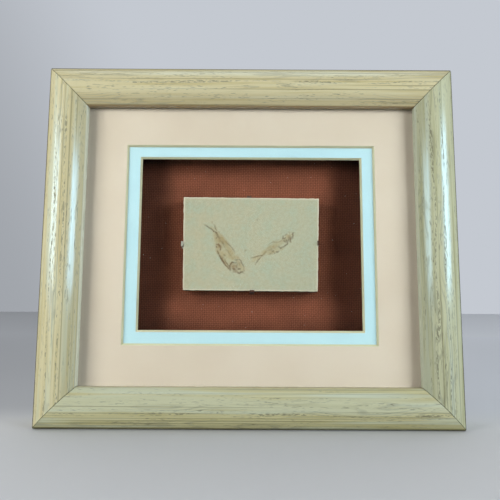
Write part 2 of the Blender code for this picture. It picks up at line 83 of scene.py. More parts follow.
# ---- helpers --------------------------------------------------------------------------------------
def linear(code: str) -> Colour:
    """Turn an sRGB hex value into a linear colour.

    Args:
        code: the value, such as "#C8BE9B".

    Returns:
        Red, green, blue and an alpha of 1.
    """
    channels = []
    for start in (1, 3, 5):
        value = int(code[start:start + 2], 16) / 255
        channels.append(value / 12.92 if value <= 0.04045 else ((value + 0.055) / 1.055) ** 2.4)
    return (channels[0], channels[1], channels[2], 1.0)


def add(tree: Tree, kind: str, inputs: dict[int | str, Value] | None = None, out: int | str = 0,
        **settings: str | bool) -> Socket | bpy.types.Node:
    """Add one node to a tree with its settings and links.

    Args:
        tree: the shader or geometry tree.
        kind: the node's type, such as "ShaderNodeMath".
        inputs: by socket name or number, a socket to link or a value to set.
        out: which output to return.
        **settings: the node's own properties.

    Returns:
        The chosen output socket, or the node itself where it has no outputs.
    """
    node = tree.nodes.new(kind)
    for name, value in settings.items():
        setattr(node, name, value)
    for key, value in (inputs or {}).items():
        if isinstance(value, Socket):
            tree.links.new(value, node.inputs[key])
        else:
            node.inputs[key].default_value = value
    return node.outputs[out] if len(node.outputs) else node


def new_material(name: str) -> tuple[Material, Tree]:
    """Make an empty node material.

    Args:
        name: its name.

    Returns:
        The material and its tree.
    """
    material = bpy.data.materials.new(name)
    material.use_nodes = True
    material.node_tree.nodes.clear()
    return material, material.node_tree


def lay(tree: Tree, below: Socket | Colour, code: str, amount: Socket, strength: float = 1.0) -> Socket:
    """Lay a colour over another, as strongly as a pattern says.

    Args:
        tree: the shader tree.
        below: the colour that is covered.
        code: the sRGB hex value of the one that covers it.
        amount: the pattern, from 0 to 1.
        strength: how much of the covering colour shows where the pattern is full.

    Returns:
        The mixed colour.
    """
    share = add(tree, "ShaderNodeMath", {0: amount, 1: strength}, operation="MULTIPLY", use_clamp=True)
    return add(tree, "ShaderNodeMix", {0: share, 6: below, 7: linear(code)}, out=2, data_type="RGBA")


def finish_surface(tree: Tree, inputs: dict[int | str, Value]) -> None:
    """Close a material with a Principled shader on its output."""
    shader = add(tree, "ShaderNodeBsdfPrincipled", inputs)
    add(tree, "ShaderNodeOutputMaterial", {"Surface": shader})


def new_tree(name: str, sizes: dict[str, str]) -> tuple[Tree, bpy.types.Node]:
    """Make a geometry tree with named inputs and one geometry output.

    Args:
        name: the tree's name.
        sizes: the socket type of each named input.

    Returns:
        The tree and its input node.
    """
    tree = bpy.data.node_groups.new(name, "GeometryNodeTree")
    tree.interface.new_socket("Guide", in_out="INPUT", socket_type="NodeSocketGeometry")
    for label, kind in sizes.items():
        tree.interface.new_socket(label, in_out="INPUT", socket_type=kind)
    tree.interface.new_socket("Result", in_out="OUTPUT", socket_type="NodeSocketGeometry")
    return tree, tree.nodes.new("NodeGroupInput")


def end_tree(tree: Tree, shape: Socket, finish: Socket) -> None:
    """End a geometry tree in Realize Instances and Set Material.

    Args:
        tree: the geometry tree.
        shape: what it has made.
        finish: its material input.
    """
    real = add(tree, "GeometryNodeRealizeInstances", {0: shape})
    done = add(tree, "GeometryNodeSetMaterial", {"Geometry": real, "Material": finish})
    add(tree, "NodeGroupOutput", {0: done})


def grow(guide: bpy.types.Mesh, tree: Tree, values: dict[str, Material | Sequence[float] | float]
         ) -> bpy.types.Mesh:
    """Run a geometry tree on a guide mesh and return the result as a plain mesh.

    Args:
        guide: the mesh that the tree starts from.
        tree: the geometry tree.
        values: the value of each named input.

    Returns:
        A new mesh with no modifier left on it.
    """
    item = bpy.data.objects.new(guide.name, guide)
    bpy.context.scene.collection.objects.link(item)
    modifier = item.modifiers.new("grow", "NODES")
    modifier.node_group = tree
    for socket in tree.interface.items_tree:
        if socket.in_out == "INPUT" and socket.name in values:
            modifier[socket.identifier] = values[socket.name]
    graph = bpy.context.evaluated_depsgraph_get()
    mesh = bpy.data.meshes.new_from_object(item.evaluated_get(graph), preserve_all_data_layers=True,
                                           depsgraph=graph)
    bpy.data.objects.remove(item, do_unlink=True)
    return mesh


def add_piece(name: str, mesh: bpy.types.Mesh, slot: str, replaced: Sequence[str] = ()) -> bpy.types.Object:
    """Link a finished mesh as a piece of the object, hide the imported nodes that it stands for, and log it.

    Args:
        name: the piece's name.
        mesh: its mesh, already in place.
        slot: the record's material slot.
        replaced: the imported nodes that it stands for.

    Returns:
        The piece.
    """
    mesh.name = name
    piece = bpy.data.objects.new(name, mesh)
    bpy.context.scene.collection.objects.link(piece)
    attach(piece, "root")
    if replaced:
        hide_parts(*replaced)
    LOG.info("%s: %d faces, slot %s", name, len(mesh.polygons), slot)
    return piece


def dress(nodes: Sequence[str], material: Material) -> None:
    """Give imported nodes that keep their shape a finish.

    Args:
        nodes: their names.
        material: the finish.
    """
    for name in nodes:
        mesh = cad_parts[name].data
        mesh.materials.clear()
        mesh.materials.append(material)
        LOG.info("%s: kept, finish %s", name, material.name)


def face_outwards(mesh: bpy.types.Mesh) -> None:
    """Turn every face of a closed mesh outwards.

    Args:
        mesh: the mesh.
    """
    shape = bmesh.new()
    shape.from_mesh(mesh)
    bmesh.ops.recalc_face_normals(shape, faces=shape.faces[:])
    shape.to_mesh(mesh)
    shape.free()


def set_attribute(mesh: bpy.types.Mesh, name: str, kind: str, values: Array) -> None:
    """Store one value for each point of a mesh.

    Args:
        mesh: the mesh.
        name: the attribute's name.
        kind: "FLOAT" or "FLOAT_COLOR".
        values: one row for each point.
    """
    attribute = mesh.attributes.new(name, kind, "POINT")
    attribute.data.foreach_set("value" if kind == "FLOAT" else "color", values.astype(np.float32).ravel())


def value_noise(x: Array, z: Array, pitch: float, seed: int) -> Array:
    """Return smooth noise between -1 and 1.

    Args:
        x: first coordinate of each point.
        z: second coordinate.
        pitch: distance between the noise's own random values.
        seed: start of the random values.

    Returns:
        One value for each point.
    """
    cells = 64
    table = np.random.default_rng(seed).uniform(-1, 1, (cells, cells))
    u, v = x / pitch, z / pitch
    i, j = np.floor(u).astype(int), np.floor(v).astype(int)
    s, t = u - i, v - j
    s, t = s * s * (3 - 2 * s), t * t * (3 - 2 * t)
    near = table[i % cells, j % cells] * (1 - s) + table[(i + 1) % cells, j % cells] * s
    far = table[i % cells, (j + 1) % cells] * (1 - s) + table[(i + 1) % cells, (j + 1) % cells] * s
    return near * (1 - t) + far * t


def grid_faces(rows: int, columns: int) -> tuple[Array, Array]:
    """Number the points of a grid row by row.

    Args:
        rows: how many rows of points it has.
        columns: how many points each row has.

    Returns:
        The numbers, laid out as the grid is, and the quads between them.
    """
    index = np.arange(rows * columns).reshape(rows, columns)
    faces = np.stack([index[:-1, :-1], index[:-1, 1:], index[1:, 1:], index[1:, :-1]], axis=-1)
    return index, faces.reshape(-1, 4)


def bell(distance: Array, half_width: float | Array) -> Array:
    """Return 1 at zero distance, falling smoothly to 0 at the half width."""
    share = np.minimum(np.abs(distance) / half_width, 1.0)
    return (1 - share * share) ** 2


# ---- finishes -------------------------------------------------------------------------------------
@dataclass(frozen=True)
class Figure:
    """One figure of the grain: noise drawn out along the wood, none below one level, full above another."""

    length: float                   # mm along the grain
    width: float                    # mm across it
    low: float
    high: float
    strength: float = 1.0           # how strongly its colour shows
    detail: float = 1.0


@dataclass(frozen=True)
class PickledWood:
    """Open-grained ash or oak, limed, toned yellow and varnished to a hard cool gloss.

    The lime lightens the wood and leaves its long streaks and short open pores grey-brown. The outer arris
    is darker. The edge beside the glass carries painted light on the side rails, where it is pale, and
    painted shade on the top and bottom rails, where it is brown. The varnish gives narrow blue-white
    highlights, which the open pores break up.

    It reads the "grain" attribute (millimetres along the rail, inwards and back, shifted from rail to
    rail) and the "section" attribute (inwards from the outside and back from the crown, in metres).
    """

    name: str
    ground: str
    streak: str
    lime: str
    pore: str = "#6A5F3F"
    # colour of the darker outer arris
    wax: str = "#4E4A38"
    # brown of the edge beside the glass, painted shade; the side rails set a pale one as painted light
    edge: str = "#86683F"
    slope: str = "#A08A5C"
    gloss: str = "#AEE2FF"
    gloss_level: float = 0.95
    edge_tone: float = 0.0          # how strongly the edge beside the glass shows its colour: painted light where pale, painted shade where brown
    slope_tone: float = 0.0         # and the slope that leads to it
    arris_tone: float = 0.8         # and the darker outer arris
    polish: Pair = (1.0, 1.0)       # gloss of the outer and of the inner half of the face
    wash: tuple[float, float, float] = (16.0, 3.0, 0.0)     # a limed band: mm inwards, half width, strength
    pore_rows: tuple[float, ...] = (13.0,)                  # mm inwards of rings with open pores
    streaks: Figure = Figure(95.0, 2.2, 0.44, 0.66, 0.65, detail=3.0)
    limed: Figure = Figure(140.0, 5.0, 0.50, 0.64, 0.65)    # where the lime has stayed
    ring_patches: Figure = Figure(120.0, 11.0, 0.48, 0.60, 0.30)    # where growth rings show
    hairlines: Figure = Figure(300.0, 1.1, 0.62, 0.72, 0.40, detail=0.0)
    pores: Figure = Figure(4.5, 0.55, 0.58, 0.68, 0.60)     # about twice the real width so that they show
    pore_patches: Figure = Figure(50.0, 2.6, 0.44, 0.58)
    row_pores: Figure = Figure(2.8, 0.9, 0.46, 0.56)        # shorter and wider, in the rows
    row_patches: Figure = Figure(34.0, 30.0, 0.40, 0.50)
    row_width: Pair = (0.35, 0.95)  # mm from the middle of a row where its pores thin out and end
    ring_pitch: float = 3.4         # mm between growth rings on the face
    ring_span: Pair = (0.2, 1.0)    # height of the ring wave over which it darkens
    ring_sway: float = 26.0         # mm that the rings waver along the rail
    row_sway: float = 7.0           # and the rows and the limed band
    sway: Pair = (70.0, 9.0)        # mm along and across over which they do
    face: float = 28.1              # mm, width of the rail seen from the front
    slope_span: Pair = (10.0, 3.0)  # mm from the glass over which the slope darkens
    edge_span: Pair = (1.0, 0.3)    # and the edge beside it
    arris_span: Pair = (4.6, 5.8)   # mm behind the crown where the darker outer arris begins
    arris_end: Pair = (3.0, 8.6)    # mm inwards and back where it ends
    polish_span: Pair = (12.0, 18.0)    # mm inwards over which the outer gloss turns into the inner one
    satin: Pair = (0.17, 0.55)      # roughness of the varnish and of the open pores
    ring_wear: float = 0.5          # how far the rings dull it, as a share of what the pores do
    pore_depth: float = 0.07        # mm
    streak_depth: float = 0.25      # as a share of the pores' depth

    def material(self) -> Material:
        """Make the finish.

        Returns:
            The material.
        """
        material, tree = new_material(self.name)
        grain = add(tree, "ShaderNodeAttribute", out="Vector", attribute_name="grain")
        places = add(tree, "ShaderNodeSeparateXYZ", {0: grain}).node
        section = add(tree, "ShaderNodeAttribute", out="Vector", attribute_name="section")
        section = add(tree, "ShaderNodeVectorMath", {0: section, 3: TO_MM}, operation="SCALE")
        section = add(tree, "ShaderNodeSeparateXYZ", {0: section}).node
        inward, back = section.outputs["X"], section.outputs["Y"]

        def fibre(length: float, width: float, detail: float = 1.0) -> Socket:
            """Return noise drawn out along the grain, with this length and width in mm."""
            stretched = add(tree, "ShaderNodeVectorMath", {0: grain, 1: (1 / length, 1 / width, 1 / width)},
                            operation="MULTIPLY")
            return add(tree, "ShaderNodeTexNoise",
                       {"Vector": stretched, "Scale": 1.0, "Detail": detail, "Roughness": 0.55})

        def figure(shape: Figure, within: Figure | None = None) -> Socket:
            """Return a figure of the grain.

            Args:
                shape: the figure.
                within: another whose patches it keeps to, if any.

            Returns:
                0 where it is absent, 1 where it is full.
            """
            noise = fibre(shape.length, shape.width, shape.detail)
            drawn = add(tree, "ShaderNodeMapRange", {0: noise, 1: shape.low, 2: shape.high},
                        interpolation_type="SMOOTHSTEP")
            if within is None:
                return drawn
            return add(tree, "ShaderNodeMath", {0: drawn, 1: figure(within)}, operation="MULTIPLY")

        warp = fibre(*self.sway)
        wavy = add(tree, "ShaderNodeMath", {0: inward, 1: self.row_sway / 2}, operation="SUBTRACT")
        wavy = add(tree, "ShaderNodeMath", {0: warp, 1: self.row_sway, 2: wavy}, operation="MULTIPLY_ADD")

        def beside(line: float, full: float, none: float) -> Socket:
            """Return a band that wavers along the rail.

            Args:
                line: mm inwards of its middle.
                full: mm from there to where it begins to fade.
                none: and to where it ends.

            Returns:
                1 in the band, 0 outside it.
            """
            gap = add(tree, "ShaderNodeMath", {0: wavy, 1: line}, operation="SUBTRACT")
            gap = add(tree, "ShaderNodeMath", {0: gap}, operation="ABSOLUTE")
            return add(tree, "ShaderNodeMapRange", {0: gap, 1: full, 2: none, 3: 1.0, 4: 0.0},
                       interpolation_type="SMOOTHSTEP")

        rings = add(tree, "ShaderNodeMath", {0: places.outputs["Y"], 1: places.outputs["Z"]}, operation="ADD")
        rings = add(tree, "ShaderNodeMath", {0: warp, 1: self.ring_sway, 2: rings}, operation="MULTIPLY_ADD")
        rings = add(tree, "ShaderNodeMath", {0: rings, 1: math.tau / self.ring_pitch}, operation="MULTIPLY")
        rings = add(tree, "ShaderNodeMath", {0: rings}, operation="SINE")
        rings = add(tree, "ShaderNodeMapRange", {0: rings, 1: self.ring_span[0], 2: self.ring_span[1]},
                    interpolation_type="SMOOTHSTEP")
        rings = add(tree, "ShaderNodeMath", {0: rings, 1: figure(self.ring_patches)}, operation="MULTIPLY")
        streaks = figure(self.streaks)
        pores = figure(self.pores, self.pore_patches)
        row_pores = figure(self.row_pores, self.row_patches)
        for line in self.pore_rows:
            row = add(tree, "ShaderNodeMath", {0: beside(line, *self.row_width), 1: row_pores},
                      operation="MULTIPLY")
            pores = add(tree, "ShaderNodeMath", {0: pores, 1: row}, operation="MAXIMUM")

        centre, half, wash_strength = self.wash
        slope, edge = (
            add(tree, "ShaderNodeMapRange", {0: inward, 1: self.face - span[0], 2: self.face - span[1]},
                interpolation_type="SMOOTHSTEP") for span in (self.slope_span, self.edge_span))
        arris = add(tree, "ShaderNodeMapRange", {0: back, 1: self.arris_span[0], 2: self.arris_span[1]},
                    interpolation_type="SMOOTHSTEP")
        for value, end in zip((inward, back), self.arris_end):
            before = add(tree, "ShaderNodeMath", {0: value, 1: end}, operation="LESS_THAN")
            arris = add(tree, "ShaderNodeMath", {0: arris, 1: before}, operation="MULTIPLY")
        colour = linear(self.ground)
        for code, amount, strength in (
                (self.streak, streaks, self.streaks.strength),
                (self.lime, figure(self.limed), self.limed.strength),
                (self.lime, beside(centre, half * 0.5, half * 1.5), wash_strength),
                (self.slope, slope, self.slope_tone),
                (self.pore, rings, self.ring_patches.strength),
                (self.pore, figure(self.hairlines), self.hairlines.strength),
                (self.pore, pores, self.pores.strength),
                # painted light and shade on the edge beside the glass
                (self.edge, edge, self.edge_tone),
                (self.wax, arris, self.arris_tone)):
            colour = lay(tree, colour, code, amount, strength)

        relief = add(tree, "ShaderNodeMath", {0: streaks, 1: -self.streak_depth}, operation="MULTIPLY")
        relief = add(tree, "ShaderNodeMath", {0: pores, 1: -1.0, 2: relief}, operation="MULTIPLY_ADD")
        dents = add(tree, "ShaderNodeBump", {"Height": relief, "Strength": 0.6,
                                              "Distance": self.pore_depth * MM})
        worn = add(tree, "ShaderNodeMath", {0: rings, 1: self.ring_wear}, operation="MULTIPLY")
        worn = add(tree, "ShaderNodeMath", {0: pores, 1: worn}, operation="MAXIMUM")
        satin = add(tree, "ShaderNodeMapRange", {0: worn, 3: self.satin[0], 4: self.satin[1]})
        shine = add(tree, "ShaderNodeMapRange",
                    {0: inward, 1: self.polish_span[0], 2: self.polish_span[1],
                     3: self.gloss_level * self.polish[0], 4: self.gloss_level * self.polish[1]})
        finish_surface(tree, {
            "Base Color": colour, "Roughness": satin, "Normal": dents, "IOR": 1.5,
            "Specular IOR Level": shine, "Specular Tint": linear(self.gloss),
        })
        return material


@dataclass(frozen=True)
class PictureGlass:
    """Thin float glass, clear with a trace of green."""

    name: str = "float_glass"
    tint: str = "#F7FCFA"

    def material(self) -> Material:
        """Make the finish, with plain transmission.

        Returns:
            The material.
        """
        material, tree = new_material(self.name)
        finish_surface(tree, {
            "Base Color": linear(self.tint), "Transmission Weight": 1.0, "Roughness": 0.0, "IOR": 1.5,
        })
        return material


@dataclass(frozen=True)
class MatBoard:
    """Four-ply mat board: coloured paper, a cream core that shows where the window is cut, a grey back.

    The paper is matt with faint fibres, so it shows no highlight.
    """

    name: str
    paper: str
    mottle: str
    core: str = "#C9C3A4"
    rear: str = "#6E675C"
    fibre: float = 1.111            # mm, coarser than the real fibres so that they show
    cloud: float = 35.7             # mm, of the faint mottling
    nap: float = 0.05               # mm that the fibres stand up

    def material(self) -> Material:
        """Make the finish.

        Returns:
            The material.
        """
        material, tree = new_material(self.name)
        place = add(tree, "ShaderNodeTexCoord", out="Object")
        fibres = add(tree, "ShaderNodeTexNoise",
                     {"Vector": place, "Scale": TO_MM / self.fibre, "Detail": 2.0})
        cloud = add(tree, "ShaderNodeTexNoise", {"Vector": place, "Scale": TO_MM / self.cloud, "Detail": 2.0})
        mottling = add(tree, "ShaderNodeMapRange", {0: cloud, 1: 0.35, 2: 0.65})
        normal = add(tree, "ShaderNodeNewGeometry", out="True Normal")
        facing = add(tree, "ShaderNodeSeparateXYZ", {0: normal}, out="Y")
        # the paper faces -Y, the cut faces aside and the back faces +Y
        cut = add(tree, "ShaderNodeMath", {0: facing, 1: -0.9}, operation="GREATER_THAN")
        behind = add(tree, "ShaderNodeMath", {0: facing, 1: 0.9}, operation="GREATER_THAN")
        colour = linear(self.paper)
        for code, amount in ((self.mottle, mottling), (self.core, cut), (self.rear, behind)):
            colour = lay(tree, colour, code, amount)
        nap = add(tree, "ShaderNodeBump", {"Height": fibres, "Strength": 0.25, "Distance": self.nap * MM})
        finish_surface(tree, {"Base Color": colour, "Roughness": 0.92, "Normal": nap,
                              "Specular IOR Level": 0.2})
        return material


@dataclass(frozen=True)
class RustLinen:
    """Coarse plain-woven linen dyed rust brown: matt, with slubs, and with painted shade in the gaps between
    the threads.

    Its tone wanders a little at random. Near the sides, top and bottom of the window the cloth is
    darkened as painted shade, where the mats shade it.
    """

    name: str = "rust_linen"
    warp: str = "#96573F"
    weft: str = "#9E5E46"
    # colour of the painted shade between the threads
    gap: str = "#552B1F"
    pitch: float = 1.4              # mm from thread to thread
    thread_height: float = 0.25     # mm
    thread_lit: Pair = (0.15, 0.85)     # shares of it over which a thread comes out of the gap's shadow
    fading: Pair = (0.88, 1.10)     # of the dye, from its darkest to its palest places
    wander: float = 0.9             # mm that the threads stray
    wander_pitch: float = 6.25      # mm over which they do
    slub: float = 2.38              # mm, length of the thick places in a thread
    cloud: float = 22.2             # mm, of the uneven fading
    kept: float = 0.52              # tone of the painted shade near the mats, as a share of the middle's
    lee_side: Pair = (0.0565, 0.074)    # metres from the middle over which the painted shade deepens
    lee_top: Pair = (0.194, 0.201)      # and its heights above the floor, near the upper
    lee_bottom: Pair = (0.0815, 0.058)  # and the lower mat

    def material(self) -> Material:
        """Make the finish.

        Returns:
            The material.
        """
        material, tree = new_material(self.name)
        still = add(tree, "ShaderNodeTexCoord", out="Object")
        wander = add(tree, "ShaderNodeTexNoise",
                     {"Vector": still, "Scale": TO_MM / self.wander_pitch, "Detail": 1.0}, out="Color")
        wander = add(tree, "ShaderNodeVectorMath", {0: wander, 1: (0.5, 0.5, 0.5)}, operation="SUBTRACT")
        wander = add(tree, "ShaderNodeVectorMath", {0: wander, 3: self.wander * MM}, operation="SCALE")
        place = add(tree, "ShaderNodeVectorMath", {0: still, 1: wander}, operation="ADD")
        threads = add(tree, "ShaderNodeVectorMath", {0: place, 3: TO_MM / self.pitch}, operation="SCALE")

        # warp and weft take turns on top, as the squares of a chessboard do
        crossings = add(tree, "ShaderNodeVectorMath", {0: threads}, operation="FLOOR")
        crossings = add(tree, "ShaderNodeSeparateXYZ", {0: crossings}).node
        over = add(tree, "ShaderNodeMath", {0: crossings.outputs["X"], 1: crossings.outputs["Z"]},
                   operation="ADD")
        over = add(tree, "ShaderNodeMath", {0: over, 1: 1.0}, operation="PINGPONG")
        rounds = add(tree, "ShaderNodeVectorMath", {0: threads, 3: math.pi}, operation="SCALE")
        rounds = add(tree, "ShaderNodeVectorMath", {0: rounds}, operation="SINE")
        rounds = add(tree, "ShaderNodeVectorMath", {0: rounds}, operation="ABSOLUTE")
        rounds = add(tree, "ShaderNodeSeparateXYZ", {0: rounds}).node
        across_x, across_z = rounds.outputs["X"], rounds.outputs["Z"]
        height = add(tree, "ShaderNodeMix", {0: over, 2: across_z, 3: across_x})
        height = add(tree, "ShaderNodeMath", {0: height, 1: 0.5}, operation="MULTIPLY")
        crossing = add(tree, "ShaderNodeMath", {0: across_x, 1: across_z}, operation="MULTIPLY")
        height = add(tree, "ShaderNodeMath", {0: crossing, 1: 0.6, 2: height}, operation="MULTIPLY_ADD")

        slub = add(tree, "ShaderNodeTexNoise", {"Vector": place, "Scale": TO_MM / self.slub, "Detail": 2.0})
        thread = lay(tree, linear(self.warp), self.weft, over)
        lit = add(tree, "ShaderNodeMath", {0: slub, 1: 0.35, 2: height}, operation="MULTIPLY_ADD")
        lit = add(tree, "ShaderNodeMapRange", {0: lit, 1: self.thread_lit[0], 2: self.thread_lit[1]})
        # painted shade: the gap colour darkens the cloth where the threads lie low
        colour = add(tree, "ShaderNodeMix", {0: lit, 6: linear(self.gap), 7: thread}, out=2, data_type="RGBA")

        cloud = add(tree, "ShaderNodeTexNoise", {"Vector": place, "Scale": TO_MM / self.cloud, "Detail": 2.0})
        fade = add(tree, "ShaderNodeMapRange",
                   {0: cloud, 1: 0.3, 2: 0.7, 3: self.fading[0], 4: self.fading[1]})
        spot = add(tree, "ShaderNodeSeparateXYZ", {0: still}).node
        aside = add(tree, "ShaderNodeMath", {0: spot.outputs["X"]}, operation="ABSOLUTE")
        # painted shade: fade is darkened near the window's sides, top and bottom, where the mats shade the
        # cloth, so it holds the dye's random fading and this painted shade
        for value, span in ((aside, self.lee_side), (spot.outputs["Z"], self.lee_top),
                            (spot.outputs["Z"], self.lee_bottom)):
            lee = add(tree, "ShaderNodeMapRange", {0: value, 1: span[0], 2: span[1], 3: 1.0, 4: self.kept},
                      interpolation_type="SMOOTHSTEP")
            fade = add(tree, "ShaderNodeMath", {0: fade, 1: lee}, operation="MULTIPLY")
        colour = add(tree, "ShaderNodeVectorMath", {0: colour, 3: fade}, operation="SCALE")
        weave = add(tree, "ShaderNodeBump", {"Height": height, "Strength": 0.8,
                                              "Distance": self.thread_height * MM})
        finish_surface(tree, {"Base Color": colour, "Roughness": 0.95, "Normal": weave,
                              "Specular IOR Level": 0.15, "Sheen Weight": 0.12, "Sheen Roughness": 0.5})
        return material


@dataclass(frozen=True)
class Patches:
    """Soft patches of another tone: noise that is absent below one level and full above another."""

    size: float                     # mm
    low: float
    high: float
    strength: float = 1.0           # how strongly their colour shows
    detail: float = 3.0


@dataclass(frozen=True)
class Limestone:
    """Split lake limestone, fine and matt, with brown fossil film and umber bone on its face.

    The saw left its walls darker and dusty brown, with a pale arris.

    It reads the "pigment" attribute (red: tan film, green: umber bone, blue: rust) and the "rim"
    attribute, which is 1 on the sawn arris and falls to 0 inside it.
    """

    name: str = "split_limestone"
    stone: str = "#BBB79F"
    cool: str = "#B2B8A3"
    warm: str = "#BEB397"
    shade: str = "#AAA68D"
    sawn: str = "#E4D6C0"
    wall: str = "#7D745F"
    film: str = "#AC935F"
    umber: str = "#553C20"
    rust: str = "#7F5330"

    warm_patches: Patches = Patches(14.3, 0.40, 0.66, 0.7)
    cool_patches: Patches = Patches(9.09, 0.46, 0.66, 0.85)
    mottling: Patches = Patches(2.326, 0.42, 0.60, 0.35)
    freckles: Patches = Patches(1.111, 0.50, 0.72, 0.22)
    film_breaks: Patches = Patches(1.667, 0.30, 0.68, detail=2.0)
    bone_breaks: Patches = Patches(0.7692, 0.30, 0.62)
    film_kept: float = 0.62         # share of the film that is left in its breaks
    rust_kept: float = 0.70         # and of the rust
    bone_kept: float = 0.68         # and of the bone
    cool_span: Pair = (-0.02, 0.055)    # metres across over which the stone turns cooler
    cool_strength: float = 0.4
    rim_strength: float = 0.95
    tooth: float = 0.4545           # mm, coarser than the real grit so that it shows
    tooth_depth: float = 0.05       # mm

    def material(self) -> Material:
        """Make the finish.

        Returns:
            The material.
        """
        material, tree = new_material(self.name)
        place = add(tree, "ShaderNodeTexCoord", out="Object")

        def patches(shape: Patches) -> Socket:
            """Return 0 between the patches and 1 in them."""
            noise = add(tree, "ShaderNodeTexNoise",
                        {"Vector": place, "Scale": TO_MM / shape.size, "Detail": shape.detail})
            return add(tree, "ShaderNodeMapRange", {0: noise, 1: shape.low, 2: shape.high})

        across = add(tree, "ShaderNodeSeparateXYZ", {0: place}, out="X")
        side = add(tree, "ShaderNodeMapRange", {0: across, 1: self.cool_span[0], 2: self.cool_span[1]})
        colour = linear(self.stone)
        for code, amount, strength in (
                (self.warm, patches(self.warm_patches), self.warm_patches.strength),
                (self.cool, patches(self.cool_patches), self.cool_patches.strength),
                (self.cool, side, self.cool_strength),
                (self.shade, patches(self.mottling), self.mottling.strength),
                (self.film, patches(self.freckles), self.freckles.strength)):
            colour = lay(tree, colour, code, amount, strength)

        pigment = add(tree, "ShaderNodeAttribute", out="Color", attribute_name="pigment")
        pigment = add(tree, "ShaderNodeSeparateColor", {0: pigment}).node
        film_breaks, bone_breaks = patches(self.film_breaks), patches(self.bone_breaks)
        for code, channel, breaks, least in (
                (self.film, "Red", film_breaks, self.film_kept),
                (self.rust, "Blue", bone_breaks, self.rust_kept),
                (self.umber, "Green", bone_breaks, self.bone_kept)):
            whole = add(tree, "ShaderNodeMapRange", {0: breaks, 3: least, 4: 1.0})
            amount = add(tree, "ShaderNodeMath", {0: pigment.outputs[channel], 1: whole},
                         operation="MULTIPLY", use_clamp=True)
            colour = lay(tree, colour, code, amount)

        rim = add(tree, "ShaderNodeAttribute", out="Fac", attribute_name="rim")
        colour = lay(tree, colour, self.sawn, rim, self.rim_strength)
        facing = add(tree, "ShaderNodeNewGeometry", out="True Normal")
        facing = add(tree, "ShaderNodeSeparateXYZ", {0: facing}, out="Y")
        # the face looks to -Y and the walls don't
        wall = add(tree, "ShaderNodeMapRange", {0: facing, 1: -0.5, 2: -0.2})
        colour = lay(tree, colour, self.wall, wall)
        tooth = add(tree, "ShaderNodeTexNoise", {"Vector": place, "Scale": TO_MM / self.tooth, "Detail": 3.0})
        grit = add(tree, "ShaderNodeBump", {"Height": tooth, "Strength": 0.22,
                                             "Distance": self.tooth_depth * MM})
        finish_surface(tree, {"Base Color": colour, "Roughness": 0.9, "Normal": grit,
                              "Specular IOR Level": 0.25})
        return material


@dataclass(frozen=True)
class Speckled:
    """A plain board, card, enamel or plating whose colour wanders between two tones over a fine grain.

    The platings are dull and dusty, so they are only partly metallic and stay light in a dark room.
    """

    name: str
    base: str
    fleck: str
    grain: float                    # mm
    roughness: float = 0.85
    metallic: float = 0.0
    dent: float = 0.05              # mm
    cloud: float = 25.0             # mm, of the broad change of tone

    def material(self) -> Material:
        """Make the finish.

        Returns:
            The material.
        """
        material, tree = new_material(self.name)
        place = add(tree, "ShaderNodeTexCoord", out="Object")
        fine = add(tree, "ShaderNodeTexNoise", {"Vector": place, "Scale": TO_MM / self.grain, "Detail": 3.0})
        broad = add(tree, "ShaderNodeTexNoise", {"Vector": place, "Scale": TO_MM / self.cloud, "Detail": 2.0})
        mixed = add(tree, "ShaderNodeMath", {0: broad, 1: 0.6, 2: fine}, operation="MULTIPLY_ADD")
        mixed = add(tree, "ShaderNodeMapRange", {0: mixed, 1: 0.6, 2: 1.0})
        colour = lay(tree, linear(self.base), self.fleck, mixed)
        worn = add(tree, "ShaderNodeMapRange", {0: mixed, 3: self.roughness * 0.85, 4: self.roughness})
        nap = add(tree, "ShaderNodeBump", {"Height": fine, "Strength": 0.4, "Distance": self.dent * MM})
        finish_surface(tree, {"Base Color": colour, "Roughness": worn, "Normal": nap,
                              "Metallic": self.metallic})
        return material


@dataclass(frozen=True)
class PaleFloor:
    """Matt white table top, with painted shade to the left and behind the frame, and painted light far
    behind.
    """

    name: str = "pale_floor"
    front: str = "#CFD1D5"
    # the left tone is painted shade
    left: str = "#B7BABF"
    right: str = "#D9DEE6"
    side_span: Pair = (-0.35, 0.35)     # metres across over which the left tone, darkened as painted shade, turns into the right one
    behind_span: Pair = (-0.02, 0.07)   # and back over which the front tone turns into both
    far_span: Pair = (0.1, 1.2)         # and back over which the tone goes from painted shadow, behind the frame, to painted light far off
    far_lift: Pair = (0.92, 1.3)        # by this much

    def material(self) -> Material:
        """Make the finish.

        Returns:
            The material.
        """
        material, tree = new_material(self.name)
        place = add(tree, "ShaderNodeTexCoord", out="Object")
        place = add(tree, "ShaderNodeSeparateXYZ", {0: place}).node
        across, back = place.outputs["X"], place.outputs["Y"]
        # painted shade and light: darker to the left and just behind the frame, lighter far behind
        side = add(tree, "ShaderNodeMapRange", {0: across, 1: self.side_span[0], 2: self.side_span[1]},
                   interpolation_type="SMOOTHSTEP")
        behind = add(tree, "ShaderNodeMapRange", {0: back, 1: self.behind_span[0], 2: self.behind_span[1]},
                     interpolation_type="SMOOTHSTEP")
        lift = add(tree, "ShaderNodeMapRange", {0: back, 1: self.far_span[0], 2: self.far_span[1],
                                                3: self.far_lift[0], 4: self.far_lift[1]})
        far = lay(tree, linear(self.left), self.right, side)
        far = add(tree, "ShaderNodeVectorMath", {0: far, 3: lift}, operation="SCALE")
        colour = add(tree, "ShaderNodeMix", {0: behind, 6: linear(self.front), 7: far},
                     out=2, data_type="RGBA")
        finish_surface(tree, {"Base Color": colour, "Roughness": 0.9, "Specular IOR Level": 0.2})
        return material


# ---- the four rails -------------------------------------------------------------------------------
class Side(Enum):
    """The four rails, each with the turn about Y that takes it from the top, in quarter turns."""

    TOP = 0
    RIGHT = 1
    BOTTOM = 2
    LEFT = -1

    @property
    def node(self) -> str:
        """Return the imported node's name."""
        return f"rail_{self.name.lower()}"
